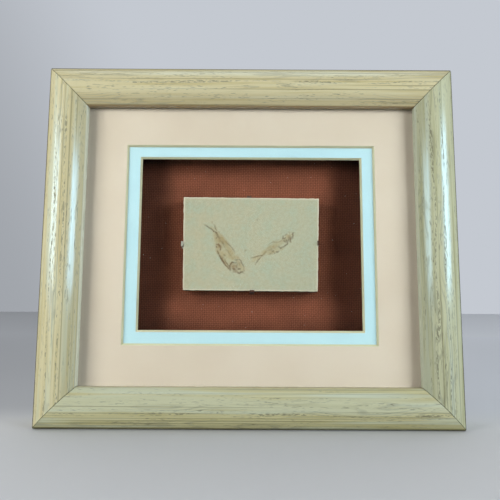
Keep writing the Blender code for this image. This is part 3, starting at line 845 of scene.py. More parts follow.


# one length of moulding differs a little from the next, so each rail has its own tones
# the edge colours give the edge beside the glass painted light (pale) on the side rails and painted shade
# (brown) on the top and bottom rails
WOODS = {
    Side.LEFT: PickledWood(
        "limed_ash_left", ground="#E6DEB3", streak="#D2C692", lime="#DFE4C8",
        slope="#9C9A7C", edge="#E6E8D2", slope_tone=0.22, edge_tone=0.9,
        polish=(0.78, 0.95), pore_rows=(9.5, 16.5)),
    Side.TOP: PickledWood(
        "limed_ash_top", ground="#E2D9AE", streak="#CDC08A", lime="#E6E3C0",
        slope_tone=0.30, edge_tone=0.8, pore_rows=(12.5,)),
    Side.BOTTOM: PickledWood(
        "limed_ash_bottom", ground="#D6D1A2", streak="#BFB780", lime="#D3DAC0",
        slope_tone=0.08, edge_tone=0.35, arris_tone=0.5, wash=(17.5, 5.0, 0.6), pore_rows=(11.0,)),
    Side.RIGHT: PickledWood(
        "limed_ash_right", ground="#D2D5B2", streak="#B9BA90", lime="#D3DDC8",
        slope="#94906E", edge="#C8CCB4", slope_tone=0.30, edge_tone=0.7,
        polish=(1.0, 0.6), pore_rows=(12.0, 19.0)),
}


@dataclass
class Moulding:
    """Four mitred rails of a scooped, full-round moulding, grown along their length."""

    face: float = 28.1 * MM
    depth: float = 47.5 * MM
    crown_from_outside: float = 13.5 * MM
    outer_drop: float = 7.4 * MM
    outer_roundness: float = 1.6
    sight_drop: float = 9.4 * MM
    sight_roundness: float = 2.0
    rabbet_depth: float = 13.5 * MM
    rabbet_width: float = 6.0 * MM
    rear_chamfer: float = 0.8 * MM
    mitre_gap: float = 0.34 * MM
    lip_width: float = 1.5 * MM         # bead beside the glass
    lip_groove: float = 0.28 * MM
    lip_groove_half: float = 0.5 * MM   # half its width
    side_points: Pair = (0.66, 0.33)    # shares of the flat side at which the outline has points
    curve_steps: int = 26
    stations: int = 90
    crease: float = math.radians(32)    # edges sharper than this stay sharp
    grain_shift: dict[Side, tuple[float, float, float]] = field(default_factory=lambda: {
        Side.TOP: (0.0, 0.0, 0.0), Side.RIGHT: (700.0, 90.0, 0.0),
        Side.BOTTOM: (1400.0, 180.0, 0.0), Side.LEFT: (2100.0, 270.0, 0.0)})

    def profile(self) -> list[Pair]:
        """Work out the rail's outline.

        Returns:
            Pairs of places, inwards from the outside and back from the crown.
        """
        points = [(self.rear_chamfer, self.depth), (0.0, self.depth - self.rear_chamfer)]
        side = self.depth - self.outer_drop
        points += [(0.0, self.outer_drop + side * share) for share in self.side_points]
        for step in range(self.curve_steps + 1):
            reach = max(0.0, math.cos(0.5 * math.pi * step / self.curve_steps))
            fall = 1 - (1 - reach ** self.outer_roundness) ** (1 / self.outer_roundness)
            points.append((self.crown_from_outside * (1 - reach), self.outer_drop * fall))
        for step in range(1, self.curve_steps + 1):
            reach = step / self.curve_steps
            inward = self.crown_from_outside + (self.face - self.crown_from_outside) * reach
            points.append((inward, self.sight_depth(inward)))
        points += [
            (self.face, self.rabbet_depth),
            (self.face - self.rabbet_width, self.rabbet_depth),
            (self.face - self.rabbet_width, self.depth),
        ]
        return points

    def sight_depth(self, inward: float) -> float:
        """Work out the slope towards the glass, with its small groove and bead.

        Args:
            inward: the distance from the outside.

        Returns:
            How far the slope lies behind the crown.
        """
        reach = (inward - self.crown_from_outside) / (self.face - self.crown_from_outside)
        depth = self.sight_drop * reach ** self.sight_roundness
        groove = (inward - (self.face - self.lip_width)) / self.lip_groove_half
        return depth + self.lip_groove * max(0.0, 1 - abs(groove))

    def sweep_tree(self) -> Tree:
        """Make the tree that sweeps the profile along a rail and shears its ends to a mitre.

        Returns:
            The geometry tree.
        """
        tree, given = new_tree("mitred_moulding", {
            "Length": "NodeSocketFloat", "Mitre Gap": "NodeSocketFloat", "Stations": "NodeSocketInt",
            "Grain Shift": "NodeSocketVector", "Finish": "NodeSocketMaterial"})
        place = add(tree, "GeometryNodeInputPosition")
        section = add(tree, "GeometryNodeStoreNamedAttribute",
                      {"Geometry": given.outputs["Guide"], "Name": "section", "Value": place},
                      data_type="FLOAT_VECTOR")
        section = add(tree, "GeometryNodeMeshToCurve", {"Mesh": section})
        line = add(tree, "GeometryNodeCurvePrimitiveLine", {"Start": (-0.5, 0, 0), "End": (0.5, 0, 0)})
        line = add(tree, "GeometryNodeResampleCurve", {"Curve": line, "Count": given.outputs["Stations"]})
        along = add(tree, "ShaderNodeSeparateXYZ", {0: place}, out="X")
        line = add(tree, "GeometryNodeStoreNamedAttribute",
                   {"Geometry": line, "Name": "along", "Value": along}, data_type="FLOAT")
        swept = add(tree, "GeometryNodeCurveToMesh",
                    {"Curve": line, "Profile Curve": section, "Fill Caps": True})
        section = add(tree, "GeometryNodeInputNamedAttribute", {"Name": "section"}, data_type="FLOAT_VECTOR")
        section = add(tree, "ShaderNodeSeparateXYZ", {0: section}, out="X").node
        along = add(tree, "GeometryNodeInputNamedAttribute", {"Name": "along"}, data_type="FLOAT")
        # each end is cut back by what the mitre takes at this distance from the outside
        cut = add(tree, "ShaderNodeMath", {0: given.outputs["Mitre Gap"], 1: math.sqrt(0.5),
                                           2: section.outputs["X"]}, operation="MULTIPLY_ADD")
        reach = add(tree, "ShaderNodeMath", {0: cut, 1: -2.0, 2: given.outputs["Length"]},
                    operation="MULTIPLY_ADD")
        x = add(tree, "ShaderNodeMath", {0: along, 1: reach}, operation="MULTIPLY")
        down = add(tree, "ShaderNodeMath", {0: section.outputs["X"], 1: -1.0}, operation="MULTIPLY")
        target = add(tree, "ShaderNodeCombineXYZ", {"X": x, "Y": section.outputs["Y"], "Z": down})
        moved = add(tree, "GeometryNodeSetPosition", {"Geometry": swept, "Position": target})
        fibre = add(tree, "ShaderNodeCombineXYZ",
                    {"X": x, "Y": section.outputs["X"], "Z": section.outputs["Y"]})
        fibre = add(tree, "ShaderNodeVectorMath", {0: fibre, 3: TO_MM}, operation="SCALE")
        fibre = add(tree, "ShaderNodeVectorMath", {0: fibre, 1: given.outputs["Grain Shift"]},
                    operation="ADD")
        stored = add(tree, "GeometryNodeStoreNamedAttribute",
                     {"Geometry": moved, "Name": "grain", "Value": fibre}, data_type="FLOAT_VECTOR")
        end_tree(tree, stored, given.outputs["Finish"])
        return tree

    def build(self, finishes: dict[Side, Material]) -> None:
        """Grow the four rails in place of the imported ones.

        Args:
            finishes: the wood of each rail.
        """
        outline = self.profile()
        count = len(outline)
        guide = bpy.data.meshes.new("moulding_profile")
        guide.from_pydata([(x, y, 0.0) for x, y in outline], [(i, (i + 1) % count) for i in range(count)], [])
        tree = self.sweep_tree()
        low, high = CAD_BOX
        middle = Vector(((low.x + high.x) / 2, 0.0, (low.z + high.z) / 2))
        half = {Side.TOP: (high.z - low.z) / 2, Side.BOTTOM: (high.z - low.z) / 2,
                Side.LEFT: (high.x - low.x) / 2, Side.RIGHT: (high.x - low.x) / 2}
        for side in Side:
            across = Side.LEFT if side in (Side.TOP, Side.BOTTOM) else Side.TOP
            mesh = grow(guide, tree, {
                "Length": 2 * half[across], "Mitre Gap": self.mitre_gap, "Stations": self.stations,
                "Grain Shift": self.grain_shift[side], "Finish": finishes[side]})
            lift = Matrix.Translation((0.0, low.y, half[side]))
            turn = Matrix.Rotation(side.value * math.pi / 2, 4, "Y")
            mesh.transform(Matrix.Translation(middle) @ turn @ lift)
            face_outwards(mesh)
            mesh.shade_smooth()
            mesh.set_sharp_from_angle(angle=self.crease)
            add_piece(f"wood_{side.node}", mesh, "pickled_wood", [side.node])


# ---- linen, dust ----------------------------------------------------------------------------------
@dataclass
class LinenPanel:
    """The cloth laid on the board, slightly uneven over its slubs."""

    grid: float = 1.5 * MM
    thickness: float = 0.14 * MM
    clearance: float = 0.05 * MM    # from the board to the back of the cloth
    unevenness: float = 0.035 * MM
    slubs: tuple[Pair, ...] = ((1.0, 3.1 * MM), (0.5, 1.7 * MM))    # share of the unevenness, distance
    seed: int = 3

    def build(self, cloth: Material, card: Material) -> None:
        """Lay the cloth on its board.

        Args:
            cloth: the linen's finish.
            card: the finish of the board under it.
        """
        dress(["linen_board"], card)
        low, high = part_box("linen_board")
        columns = round((high.x - low.x) / self.grid)
        rows = round((high.z - low.z) / self.grid)
        x, z = np.meshgrid(np.linspace(low.x, high.x, columns + 1), np.linspace(low.z, high.z, rows + 1))
        lift = self.clearance + self.thickness / 2
        rise = self.unevenness * sum(share * value_noise(x, z, pitch, self.seed + number)
                                     for number, (share, pitch) in enumerate(self.slubs))
        points = np.stack([x, low.y - lift - rise, z], axis=-1).reshape(-1, 3)
        faces = grid_faces(rows + 1, columns + 1)[1]
        mesh = bpy.data.meshes.new("linen_cloth")
        mesh.from_pydata(points.tolist(), [], faces.tolist())
        mesh.materials.append(cloth)
        mesh.shade_smooth()
        piece = add_piece("linen_cloth", mesh, "rust_linen")
        shell = piece.modifiers.new("cloth thickness", "SOLIDIFY")
        shell.thickness = self.thickness
        shell.offset = 0.0


@dataclass
class Dust:
    """White specks of lint on the inner face of the glass."""

    density: float = 3000.0         # specks for each square metre
    speck: float = 0.16 * MM
    seed: int = 11
    smallest: tuple[float, float, float] = (0.5, 0.2, 0.4)  # shares of a speck's size along its axes
    largest: tuple[float, float, float] = (1.6, 0.35, 1.3)
    size_seed: int = 5
    turn_seed: int = 6
    clear: Pair = (42.0 * MM, 40.0 * MM)    # rim of the glass, over the mats, that is left clean

    def tree(self) -> Tree:
        """Make the tree that scatters flat specks over a sheet.

        Returns:
            The geometry tree.
        """
        tree, given = new_tree("scattered_lint", {
            "Density": "NodeSocketFloat", "Size": "NodeSocketFloat", "Seed": "NodeSocketInt",
            "Finish": "NodeSocketMaterial"})
        spread = add(tree, "GeometryNodeDistributePointsOnFaces",
                     {"Mesh": given.outputs["Guide"], "Density": given.outputs["Density"],
                      "Seed": given.outputs["Seed"]})
        speck = add(tree, "GeometryNodeMeshIcoSphere", {"Radius": given.outputs["Size"], "Subdivisions": 1})
        size = add(tree, "FunctionNodeRandomValue",
                   {0: self.smallest, 1: self.largest, "Seed": self.size_seed}, data_type="FLOAT_VECTOR")
        turn = add(tree, "FunctionNodeRandomValue",
                   {0: (0.0, 0.0, 0.0), 1: (0.0, math.tau, 0.0), "Seed": self.turn_seed},
                   data_type="FLOAT_VECTOR")
        turn = add(tree, "FunctionNodeEulerToRotation", {0: turn})
        placed = add(tree, "GeometryNodeInstanceOnPoints",
                     {"Points": spread, "Instance": speck, "Rotation": turn, "Scale": size})
        end_tree(tree, placed, given.outputs["Finish"])
        return tree

    def build(self, finish: Material) -> None:
        """Scatter the specks over the window of the mats.

        Args:
            finish: the lint's finish.
        """
        low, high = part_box("glazing")
        y = high.y + self.speck * 0.3
        inset = Vector((self.clear[0], 0.0, self.clear[1]))
        low, high = low + inset, high - inset
        corners = [(low.x, y, low.z), (high.x, y, low.z), (high.x, y, high.z), (low.x, y, high.z)]
        guide = bpy.data.meshes.new("dust_field")
        guide.from_pydata(corners, [], [(0, 1, 2, 3)])
        mesh = grow(guide, self.tree(), {"Density": self.density, "Size": self.speck, "Seed": self.seed,
                                         "Finish": finish})
        add_piece("glass_lint", mesh, "glazing")


# ---- fossil slab ----------------------------------------------------------------------------------
@dataclass(frozen=True)
class Mark:
    """A soft brush stroke of fossil pigment on the slab, in millimetres from the slab's centre."""

    route: tuple[Pair, ...]
    width: float
    film: float = 0.0
    umber: float = 0.0
    rust: float = 0.0
    fade: Pair = (0.6, 0.6)         # strength at both ends, 1 in the middle


@dataclass(frozen=True)
class Fish:
    """One fossil fish: its body in its own axes and the marks that it left, all in millimetres."""

    tail_root: Pair
    heading: float                  # degrees from +X towards +Z
    length: float
    back: tuple[Pair, ...]
    belly: tuple[Pair, ...]
    head_from: float
    eye: Pair
    marks: tuple[Mark, ...]

    @property
    def axes(self) -> tuple[Vector, Vector]:
        """Work out the body's own axes.

        Returns:
            The directions from tail to snout and from belly to back.
        """
        angle = math.radians(self.heading)
        forward = Vector((math.cos(angle), math.sin(angle)))
        return forward, Vector((-forward.y, forward.x))

    def to_body(self, x: Array, z: Array) -> tuple[Array, Array]:
        """Turn places on the slab into places on the body.

        Args:
            x: millimetres to the right of the slab's centre.
            z: and above it.

        Returns:
            Millimetres along the body from the tail's root, and across it towards the back.
        """
        forward, upward = self.axes
        dx, dz = x - self.tail_root[0], z - self.tail_root[1]
        return dx * forward.x + dz * forward.y, dx * upward.x + dz * upward.y


LEFT_FISH = Fish(
    tail_root=(-26.5, 7.3),
    heading=-54.2,
    length=37.1,
    back=((-1.5, 1.5), (4.1, 3.0), (10.1, 3.8), (14.1, 4.0), (20.2, 3.6), (27.9, 4.0),
          (31.3, 3.4), (34.9, 1.8), (37.1, 0.2)),
    belly=((-1.5, 1.4), (1.5, 2.8), (6.1, 4.2), (9.1, 6.0), (13.1, 7.4), (19.2, 8.0),
           (26.3, 7.6), (30.3, 6.3), (34.4, 3.7), (37.1, 0.2)),
    head_from=27.3,
    eye=(32.7, -1.6),
    marks=(
        # tail
        Mark(((-35.7, 14.2), (-33.8, 13.4), (-32.3, 12.3), (-30.7, 11.4), (-29.2, 10.3),
              (-28.3, 9.1)), 0.55, umber=0.71, rust=0.1, fade=(0.2, 1.0)),
        Mark(((-28.0, 14.3), (-27.3, 12.6), (-26.9, 11.4), (-26.2, 10.5),
              (-25.9, 9.9)), 0.5, umber=0.59, rust=0.1, fade=(0.5, 0.8)),
        Mark(((-29.5, 16.7), (-29.4, 15.2)), 0.5, umber=0.34),
        Mark(((-28.3, 9.1), (-27.1, 8.8), (-26.1, 8.0)), 0.6, umber=0.55, rust=0.1, fade=(0.8, 1.0)),
        Mark(((-31.1, 12.5), (-29.2, 11.4), (-27.7, 9.5)), 1.4, film=0.35),
        Mark(((-27.0, 13.3), (-25.8, 9.9)), 1.0, film=0.3),
        # spine, darkest near the tail
        Mark(((-26.1, 8.2), (-25.5, 6.9), (-25.0, 5.7), (-24.3, 4.8),
              (-23.8, 4.2)), 0.8, umber=0.52, rust=0.1, fade=(0.9, 0.6)),
        Mark(((-24.6, 8.9), (-24.0, 8.7)), 0.5, umber=0.29, fade=(1.0, 1.0)),
        Mark(((-26.2, 4.1), (-25.8, 4.3)), 0.55, umber=0.5, rust=0.1, fade=(1.0, 1.0)),
        Mark(((-23.8, 4.2), (-22.6, 2.4), (-21.5, 0.5), (-20.3, -1.0),
              (-19.4, -2.9)), 0.8, film=0.3, umber=0.29),
        Mark(((-25.0, 7.3), (-23.4, 5.8), (-21.5, 3.9), (-20.0, 2.0),
              (-18.1, 0.1)), 1.7, film=0.75, umber=0.12, rust=0.06),
        Mark(((-21.1, 1.6), (-20.5, -0.5)), 0.8, umber=0.27),
        Mark(((-24.2, 3.5), (-22.2, 1.6), (-20.7, -0.3)), 1.5, film=0.6, umber=0.07),
        Mark(((-27.3, 8.0), (-26.8, 5.4), (-26.0, 2.3), (-25.2, 0.0)), 1.7, film=0.5),
        Mark(((-29.3, 3.8), (-29.1, 3.5)), 0.5, umber=0.21, fade=(1.0, 1.0)),
        Mark(((-19.6, -0.7), (-18.0, -2.9), (-16.5, -5.6), (-14.5, -8.2),
              (-13.4, -10.5)), 1.8, film=0.62, umber=0.04),
        Mark(((-18.7, -4.5), (-17.2, -5.6), (-16.1, -7.7), (-14.9, -9.0)), 0.6, umber=0.25),
        # back
        Mark(((-19.4, 2.0), (-18.1, 0.5), (-16.2, -1.0), (-14.8, -2.5), (-13.6, -4.0), (-12.5, -5.7),
              (-11.9, -7.1)), 0.5, umber=0.52, rust=0.1, fade=(0.3, 0.3)),
        Mark(((-18.8, 0.9), (-16.5, -2.2), (-14.6, -5.2), (-13.0, -8.2)), 1.7, film=0.45),
        Mark(((-13.4, -10.9), (-11.1, -10.1), (-8.9, -10.8)), 1.4, film=0.4, rust=0.08),
        Mark(((-10.4, -8.9), (-9.2, -11.2)), 0.8, rust=0.15),
        # flank and belly cavity
        Mark(((-24.0, 2.7), (-23.7, 0.4)), 1.0, film=0.45, umber=0.13, rust=0.1),
        Mark(((-25.8, -0.7), (-24.5, -0.7), (-23.5, -1.7),
              (-22.9, -2.8)), 0.75, umber=0.46, rust=0.65, fade=(0.6, 0.8)),
        Mark(((-25.2, -1.9), (-24.0, -3.4)), 1.3, film=0.5, rust=0.32),
        Mark(((-22.6, -1.5), (-21.4, -3.3)), 1.2, film=0.4, rust=0.22),
        Mark(((-22.8, -3.9), (-22.9, -5.1)), 0.6, umber=0.63, rust=0.4, fade=(1.0, 0.8)),
        Mark(((-26.0, -2.4), (-25.9, -3.0)), 0.6, umber=0.63, rust=0.1, fade=(1.0, 1.0)),
        Mark(((-25.7, -3.8), (-25.1, -5.7), (-24.0, -6.8)), 1.2, film=0.45, rust=0.06),
        Mark(((-23.2, -6.0), (-21.0, -7.9), (-18.7, -10.5)), 1.9, film=0.35),
        Mark(((-20.0, -8.5), (-19.1, -9.3)), 0.5, umber=0.59, rust=0.1, fade=(1.0, 0.7)),
        Mark(((-18.7, -6.0), (-16.8, -9.0), (-15.2, -11.6)), 1.8, film=0.32),
        Mark(((-21.3, -9.8), (-20.4, -11.5)), 1.0, rust=0.3),
        Mark(((-25.7, 2.3), (-24.1, -1.5), (-22.5, -5.3), (-20.2, -9.0), (-17.1, -12.8)), 3.2, film=0.3),
        # belly: two dark lines that meet before the gill
        Mark(((-25.1, -5.7), (-24.4, -7.2), (-23.6, -8.7), (-23.0, -10.0), (-22.0, -11.7),
              (-20.9, -13.2), (-19.7, -15.1), (-18.6, -16.6), (-17.0, -18.1), (-15.7, -19.5),
              (-15.1, -20.2)), 0.6, umber=0.76, rust=0.2, fade=(0.6, 0.7)),
        Mark(((-24.7, -6.6), (-24.0, -8.2)), 0.8, umber=0.29),
        Mark(((-23.0, -9.4), (-22.0, -11.0), (-20.9, -13.1), (-19.6, -15.1)), 0.8, umber=0.35, rust=0.2),
        Mark(((-19.5, -12.1), (-19.0, -13.2), (-18.1, -14.7), (-17.2, -15.8),
              (-16.1, -17.4)), 0.55, umber=0.55, rust=0.22, fade=(0.6, 0.7)),
        Mark(((-22.4, -9.1), (-20.5, -12.1), (-18.6, -15.5), (-16.7, -18.1)), 1.3, film=0.55, rust=0.1),
        Mark(((-15.7, -9.0), (-13.4, -11.6), (-10.7, -11.2)), 2.0, film=0.32),
        # gill cover
        Mark(((-15.1, -19.5), (-15.4, -18.0), (-15.4, -16.4), (-14.9, -15.2), (-13.7, -14.1),
              (-13.0, -14.3), (-12.0, -14.7), (-11.1, -14.3)), 0.6, umber=0.74, rust=0.1, fade=(0.6, 0.6)),
        Mark(((-13.9, -14.1), (-13.4, -14.1)), 0.55, umber=0.59, rust=0.1, fade=(1.0, 1.0)),
        Mark(((-15.9, -16.6), (-15.5, -18.5)), 0.5, umber=0.34),
        Mark(((-14.4, -15.8), (-13.3, -17.0), (-12.2, -17.3), (-10.7, -17.7)), 2.0, film=0.45, rust=0.5),
        Mark(((-13.3, -18.9), (-11.8, -20.0), (-10.2, -20.7)), 1.2, umber=0.21, rust=0.45),
        Mark(((-12.7, -19.0), (-11.9, -19.2)), 0.6, umber=0.42, rust=0.2, fade=(1.0, 1.0)),
        Mark(((-10.8, -16.8), (-10.4, -18.1)), 0.7, umber=0.34, rust=0.2),
        Mark(((-13.2, -21.4), (-11.7, -21.5), (-9.9, -21.3)), 0.5, umber=0.29, rust=0.2),
        # skull, eye and jaw
        Mark(((-11.6, -12.2), (-10.9, -12.6), (-10.0, -12.1)), 0.6, umber=0.5, rust=0.1, fade=(0.7, 0.7)),
        Mark(((-10.3, -13.5), (-9.9, -15.4), (-10.3, -16.5)), 0.7, umber=0.35),
        Mark(((-9.6, -12.1), (-8.1, -12.0), (-7.3, -13.1), (-6.9, -14.5), (-5.9, -15.7),
              (-5.3, -16.9)), 0.6, umber=0.57, rust=0.1, fade=(0.5, 0.8)),
        Mark(((-8.7, -13.9), (-8.3, -15.8), (-8.0, -16.5)), 0.6, umber=0.35),
        Mark(((-9.6, -13.5), (-8.0, -15.8), (-6.5, -18.0), (-5.7, -19.5)), 2.0, film=0.5, umber=0.04),
        Mark(((-5.2, -17.3), (-5.0, -18.8), (-4.8, -20.3)), 0.5, umber=0.32),
        Mark(((-9.3, -19.0), (-8.4, -19.3), (-7.9, -19.1)), 0.7, umber=0.81, rust=0.1, fade=(0.9, 0.9)),
        Mark(((-9.3, -21.9), (-8.3, -22.2), (-7.6, -21.6), (-6.9, -21.3),
              (-6.1, -21.3)), 0.78, umber=0.81, rust=0.1, fade=(0.8, 0.9)),
        Mark(((-5.3, -22.2), (-4.5, -22.6)), 0.5, umber=0.27, fade=(1.0, 0.5)),
        Mark(((-5.0, -20.4), (-4.4, -20.7)), 0.45, umber=0.34, fade=(1.0, 0.6)),
    ),
)
RIGHT_FISH = Fish(
    tail_root=(8.6, -9.0),
    heading=35.1,
    length=28.8,
    back=((-1.0, 1.0), (2.0, 1.1), (5.7, 2.3), (9.1, 3.6), (13.1, 3.0), (17.2, 2.3),
          (21.7, 3.6), (26.8, 3.3), (28.8, 0.3)),
    belly=((-1.0, 1.0), (2.0, 1.3), (5.5, 2.9), (9.1, 4.9), (12.6, 5.4), (19.0, 4.5),
           (24.1, 3.3), (26.9, 1.6), (28.8, 0.3)),
    head_from=20.2,
    eye=(25.3, 0.6),
    marks=(
        # tail
        Mark(((-0.2, -10.7), (1.7, -10.5), (3.2, -9.9), (4.7, -9.3), (6.6, -9.0),
              (8.5, -8.9)), 0.55, film=0.25, umber=0.57, rust=0.1, fade=(0.2, 0.9)),
        Mark(((3.5, -15.6), (4.0, -14.5), (4.9, -13.4), (5.7, -12.1), (6.6, -11.1),
              (7.5, -10.1)), 0.55, umber=0.57, rust=0.1, fade=(0.5, 0.6)),
        Mark(((0.9, -12.6), (3.9, -11.1), (7.0, -9.9)), 1.5, film=0.3),
        Mark(((9.2, -9.9), (10.7, -11.0)), 1.2, rust=0.1),
        # peduncle and spine
        Mark(((8.4, -8.8), (9.6, -8.0), (10.7, -6.8),
              (11.8, -5.3)), 0.8, film=0.45, umber=0.34, fade=(0.9, 0.3)),
        Mark(((8.1, -7.2), (9.9, -5.7)), 1.2, film=0.35),
        Mark(((12.9, -4.9), (14.8, -4.4), (16.7, -4.9)), 0.6, umber=0.27),
        Mark(((15.1, -3.0), (15.8, -4.1)), 0.5, umber=0.24),
        # flank
        Mark(((11.4, -5.7), (13.7, -4.5), (16.3, -2.6), (19.0, -0.7),
              (21.6, 0.9)), 2.6, film=0.55, rust=0.04),
        Mark(((12.6, -3.4), (14.4, -1.5)), 0.9, film=0.35, umber=0.08),
        Mark(((16.0, -1.8), (17.5, -2.6), (19.0, -1.8)), 1.6, film=0.2, rust=0.14),
        Mark(((13.7, -7.2), (16.7, -6.0), (19.7, -4.5), (22.8, -2.9)), 1.5, film=0.4),
        # back
        Mark(((12.9, -0.7), (15.2, 1.0), (17.1, 1.7), (19.0, 1.4), (20.8, 1.6),
              (22.4, 2.4)), 0.6, film=0.3, umber=0.27, fade=(0.2, 0.8)),
        Mark(((19.7, 3.3), (21.6, 3.5)), 0.5, umber=0.17),
        # belly
        Mark(((13.7, -7.6), (14.8, -7.2), (15.6, -6.6)), 0.6, umber=0.42),
        Mark(((16.2, -5.8), (17.1, -5.2)), 0.6, umber=0.55, rust=0.1, fade=(1.0, 1.0)),
        Mark(((17.5, -6.5), (18.1, -6.8)), 0.5, umber=0.5, rust=0.1, fade=(1.0, 1.0)),
        Mark(((19.4, -5.8), (20.0, -6.0), (20.6, -5.6)), 0.6, umber=0.77, rust=0.1, fade=(0.9, 0.8)),
        Mark(((20.9, -5.6), (22.0, -4.8)), 0.5, umber=0.25),
        Mark(((20.9, -1.8), (22.0, -2.4), (22.6, -3.3), (23.4, -2.4), (24.6, -2.0),
              (25.8, -1.1)), 0.62, umber=0.6, rust=0.1, fade=(0.6, 0.9)),
        Mark(((22.2, -2.8), (22.7, -2.9)), 0.6, umber=0.29, fade=(1.0, 1.0)),
        Mark(((22.8, -4.4), (24.6, -3.3)), 0.8, film=0.3),
        # head
        Mark(((26.0, -0.8), (26.9, -0.4), (27.7, 0.2), (27.7, 1.3),
              (27.1, 2.2)), 0.62, umber=0.67, rust=0.1, fade=(0.9, 0.7)),
        Mark(((24.1, 4.3), (24.2, 5.5), (24.6, 6.6)), 0.62, umber=0.55, rust=0.1, fade=(0.9, 0.5)),
        Mark(((24.6, 4.7), (25.4, 4.0), (26.0, 4.9)), 0.62, umber=0.57, rust=0.1, fade=(0.7, 0.8)),
        Mark(((25.8, 6.8), (26.5, 7.4), (27.3, 7.9)), 0.6, umber=0.5, rust=0.1, fade=(0.7, 0.5)),
        Mark(((24.5, 2.6), (25.4, 2.6), (26.1, 1.7)), 0.6, umber=0.71, rust=0.1, fade=(0.9, 0.8)),
        Mark(((26.5, 3.2), (27.6, 2.8)), 0.6, umber=0.46, rust=0.3, fade=(1.0, 0.7)),
        Mark(((22.0, 2.0), (23.1, 2.8), (23.9, 3.7)), 0.6, umber=0.29),
        Mark(((28.4, 4.5), (28.6, 3.2), (28.8, 2.4)), 0.9, umber=0.4, rust=0.22),
        Mark(((30.0, 1.6), (29.8, 2.9), (30.1, 4.0)), 0.6, umber=0.71, rust=0.1, fade=(0.8, 0.7)),
        Mark(((29.2, 5.9), (29.5, 4.8), (30.7, 4.7)), 1.2, umber=0.25, rust=0.5),
        Mark(((31.5, 5.2), (31.7, 6.7), (31.4, 7.8),
              (31.8, 8.6)), 0.7, umber=0.5, rust=0.2, fade=(0.6, 0.9)),
        Mark(((31.3, 7.7), (31.7, 7.9)), 0.6, umber=0.42, fade=(1.0, 1.0)),
        Mark(((28.5, 9.3), (29.1, 8.7), (29.5, 7.8)), 0.5, umber=0.4),
        Mark(((32.2, 8.7), (32.7, 9.0)), 0.45, umber=0.42, fade=(1.0, 0.5)),
        Mark(((27.3, 5.9), (28.4, 6.6)), 1.4, film=0.3, rust=0.15),
        Mark(((23.5, 1.7), (25.8, 3.6), (28.0, 5.9), (30.3, 7.4)), 2.2, film=0.35),
    ),
)
STRAY_SPECKS = (
    Mark(((4.7, 18.8), (4.7, 18.2)), 0.5, umber=0.38, fade=(1.0, 1.0)),
    Mark(((-4.3, -5.2), (-3.7, -4.8)), 0.8, film=0.2, umber=0.22, fade=(1.0, 1.0)),
    Mark(((22.2, 9.6), (23.2, 8.5)), 0.35, umber=0.18, fade=(1.0, 1.0)),
)


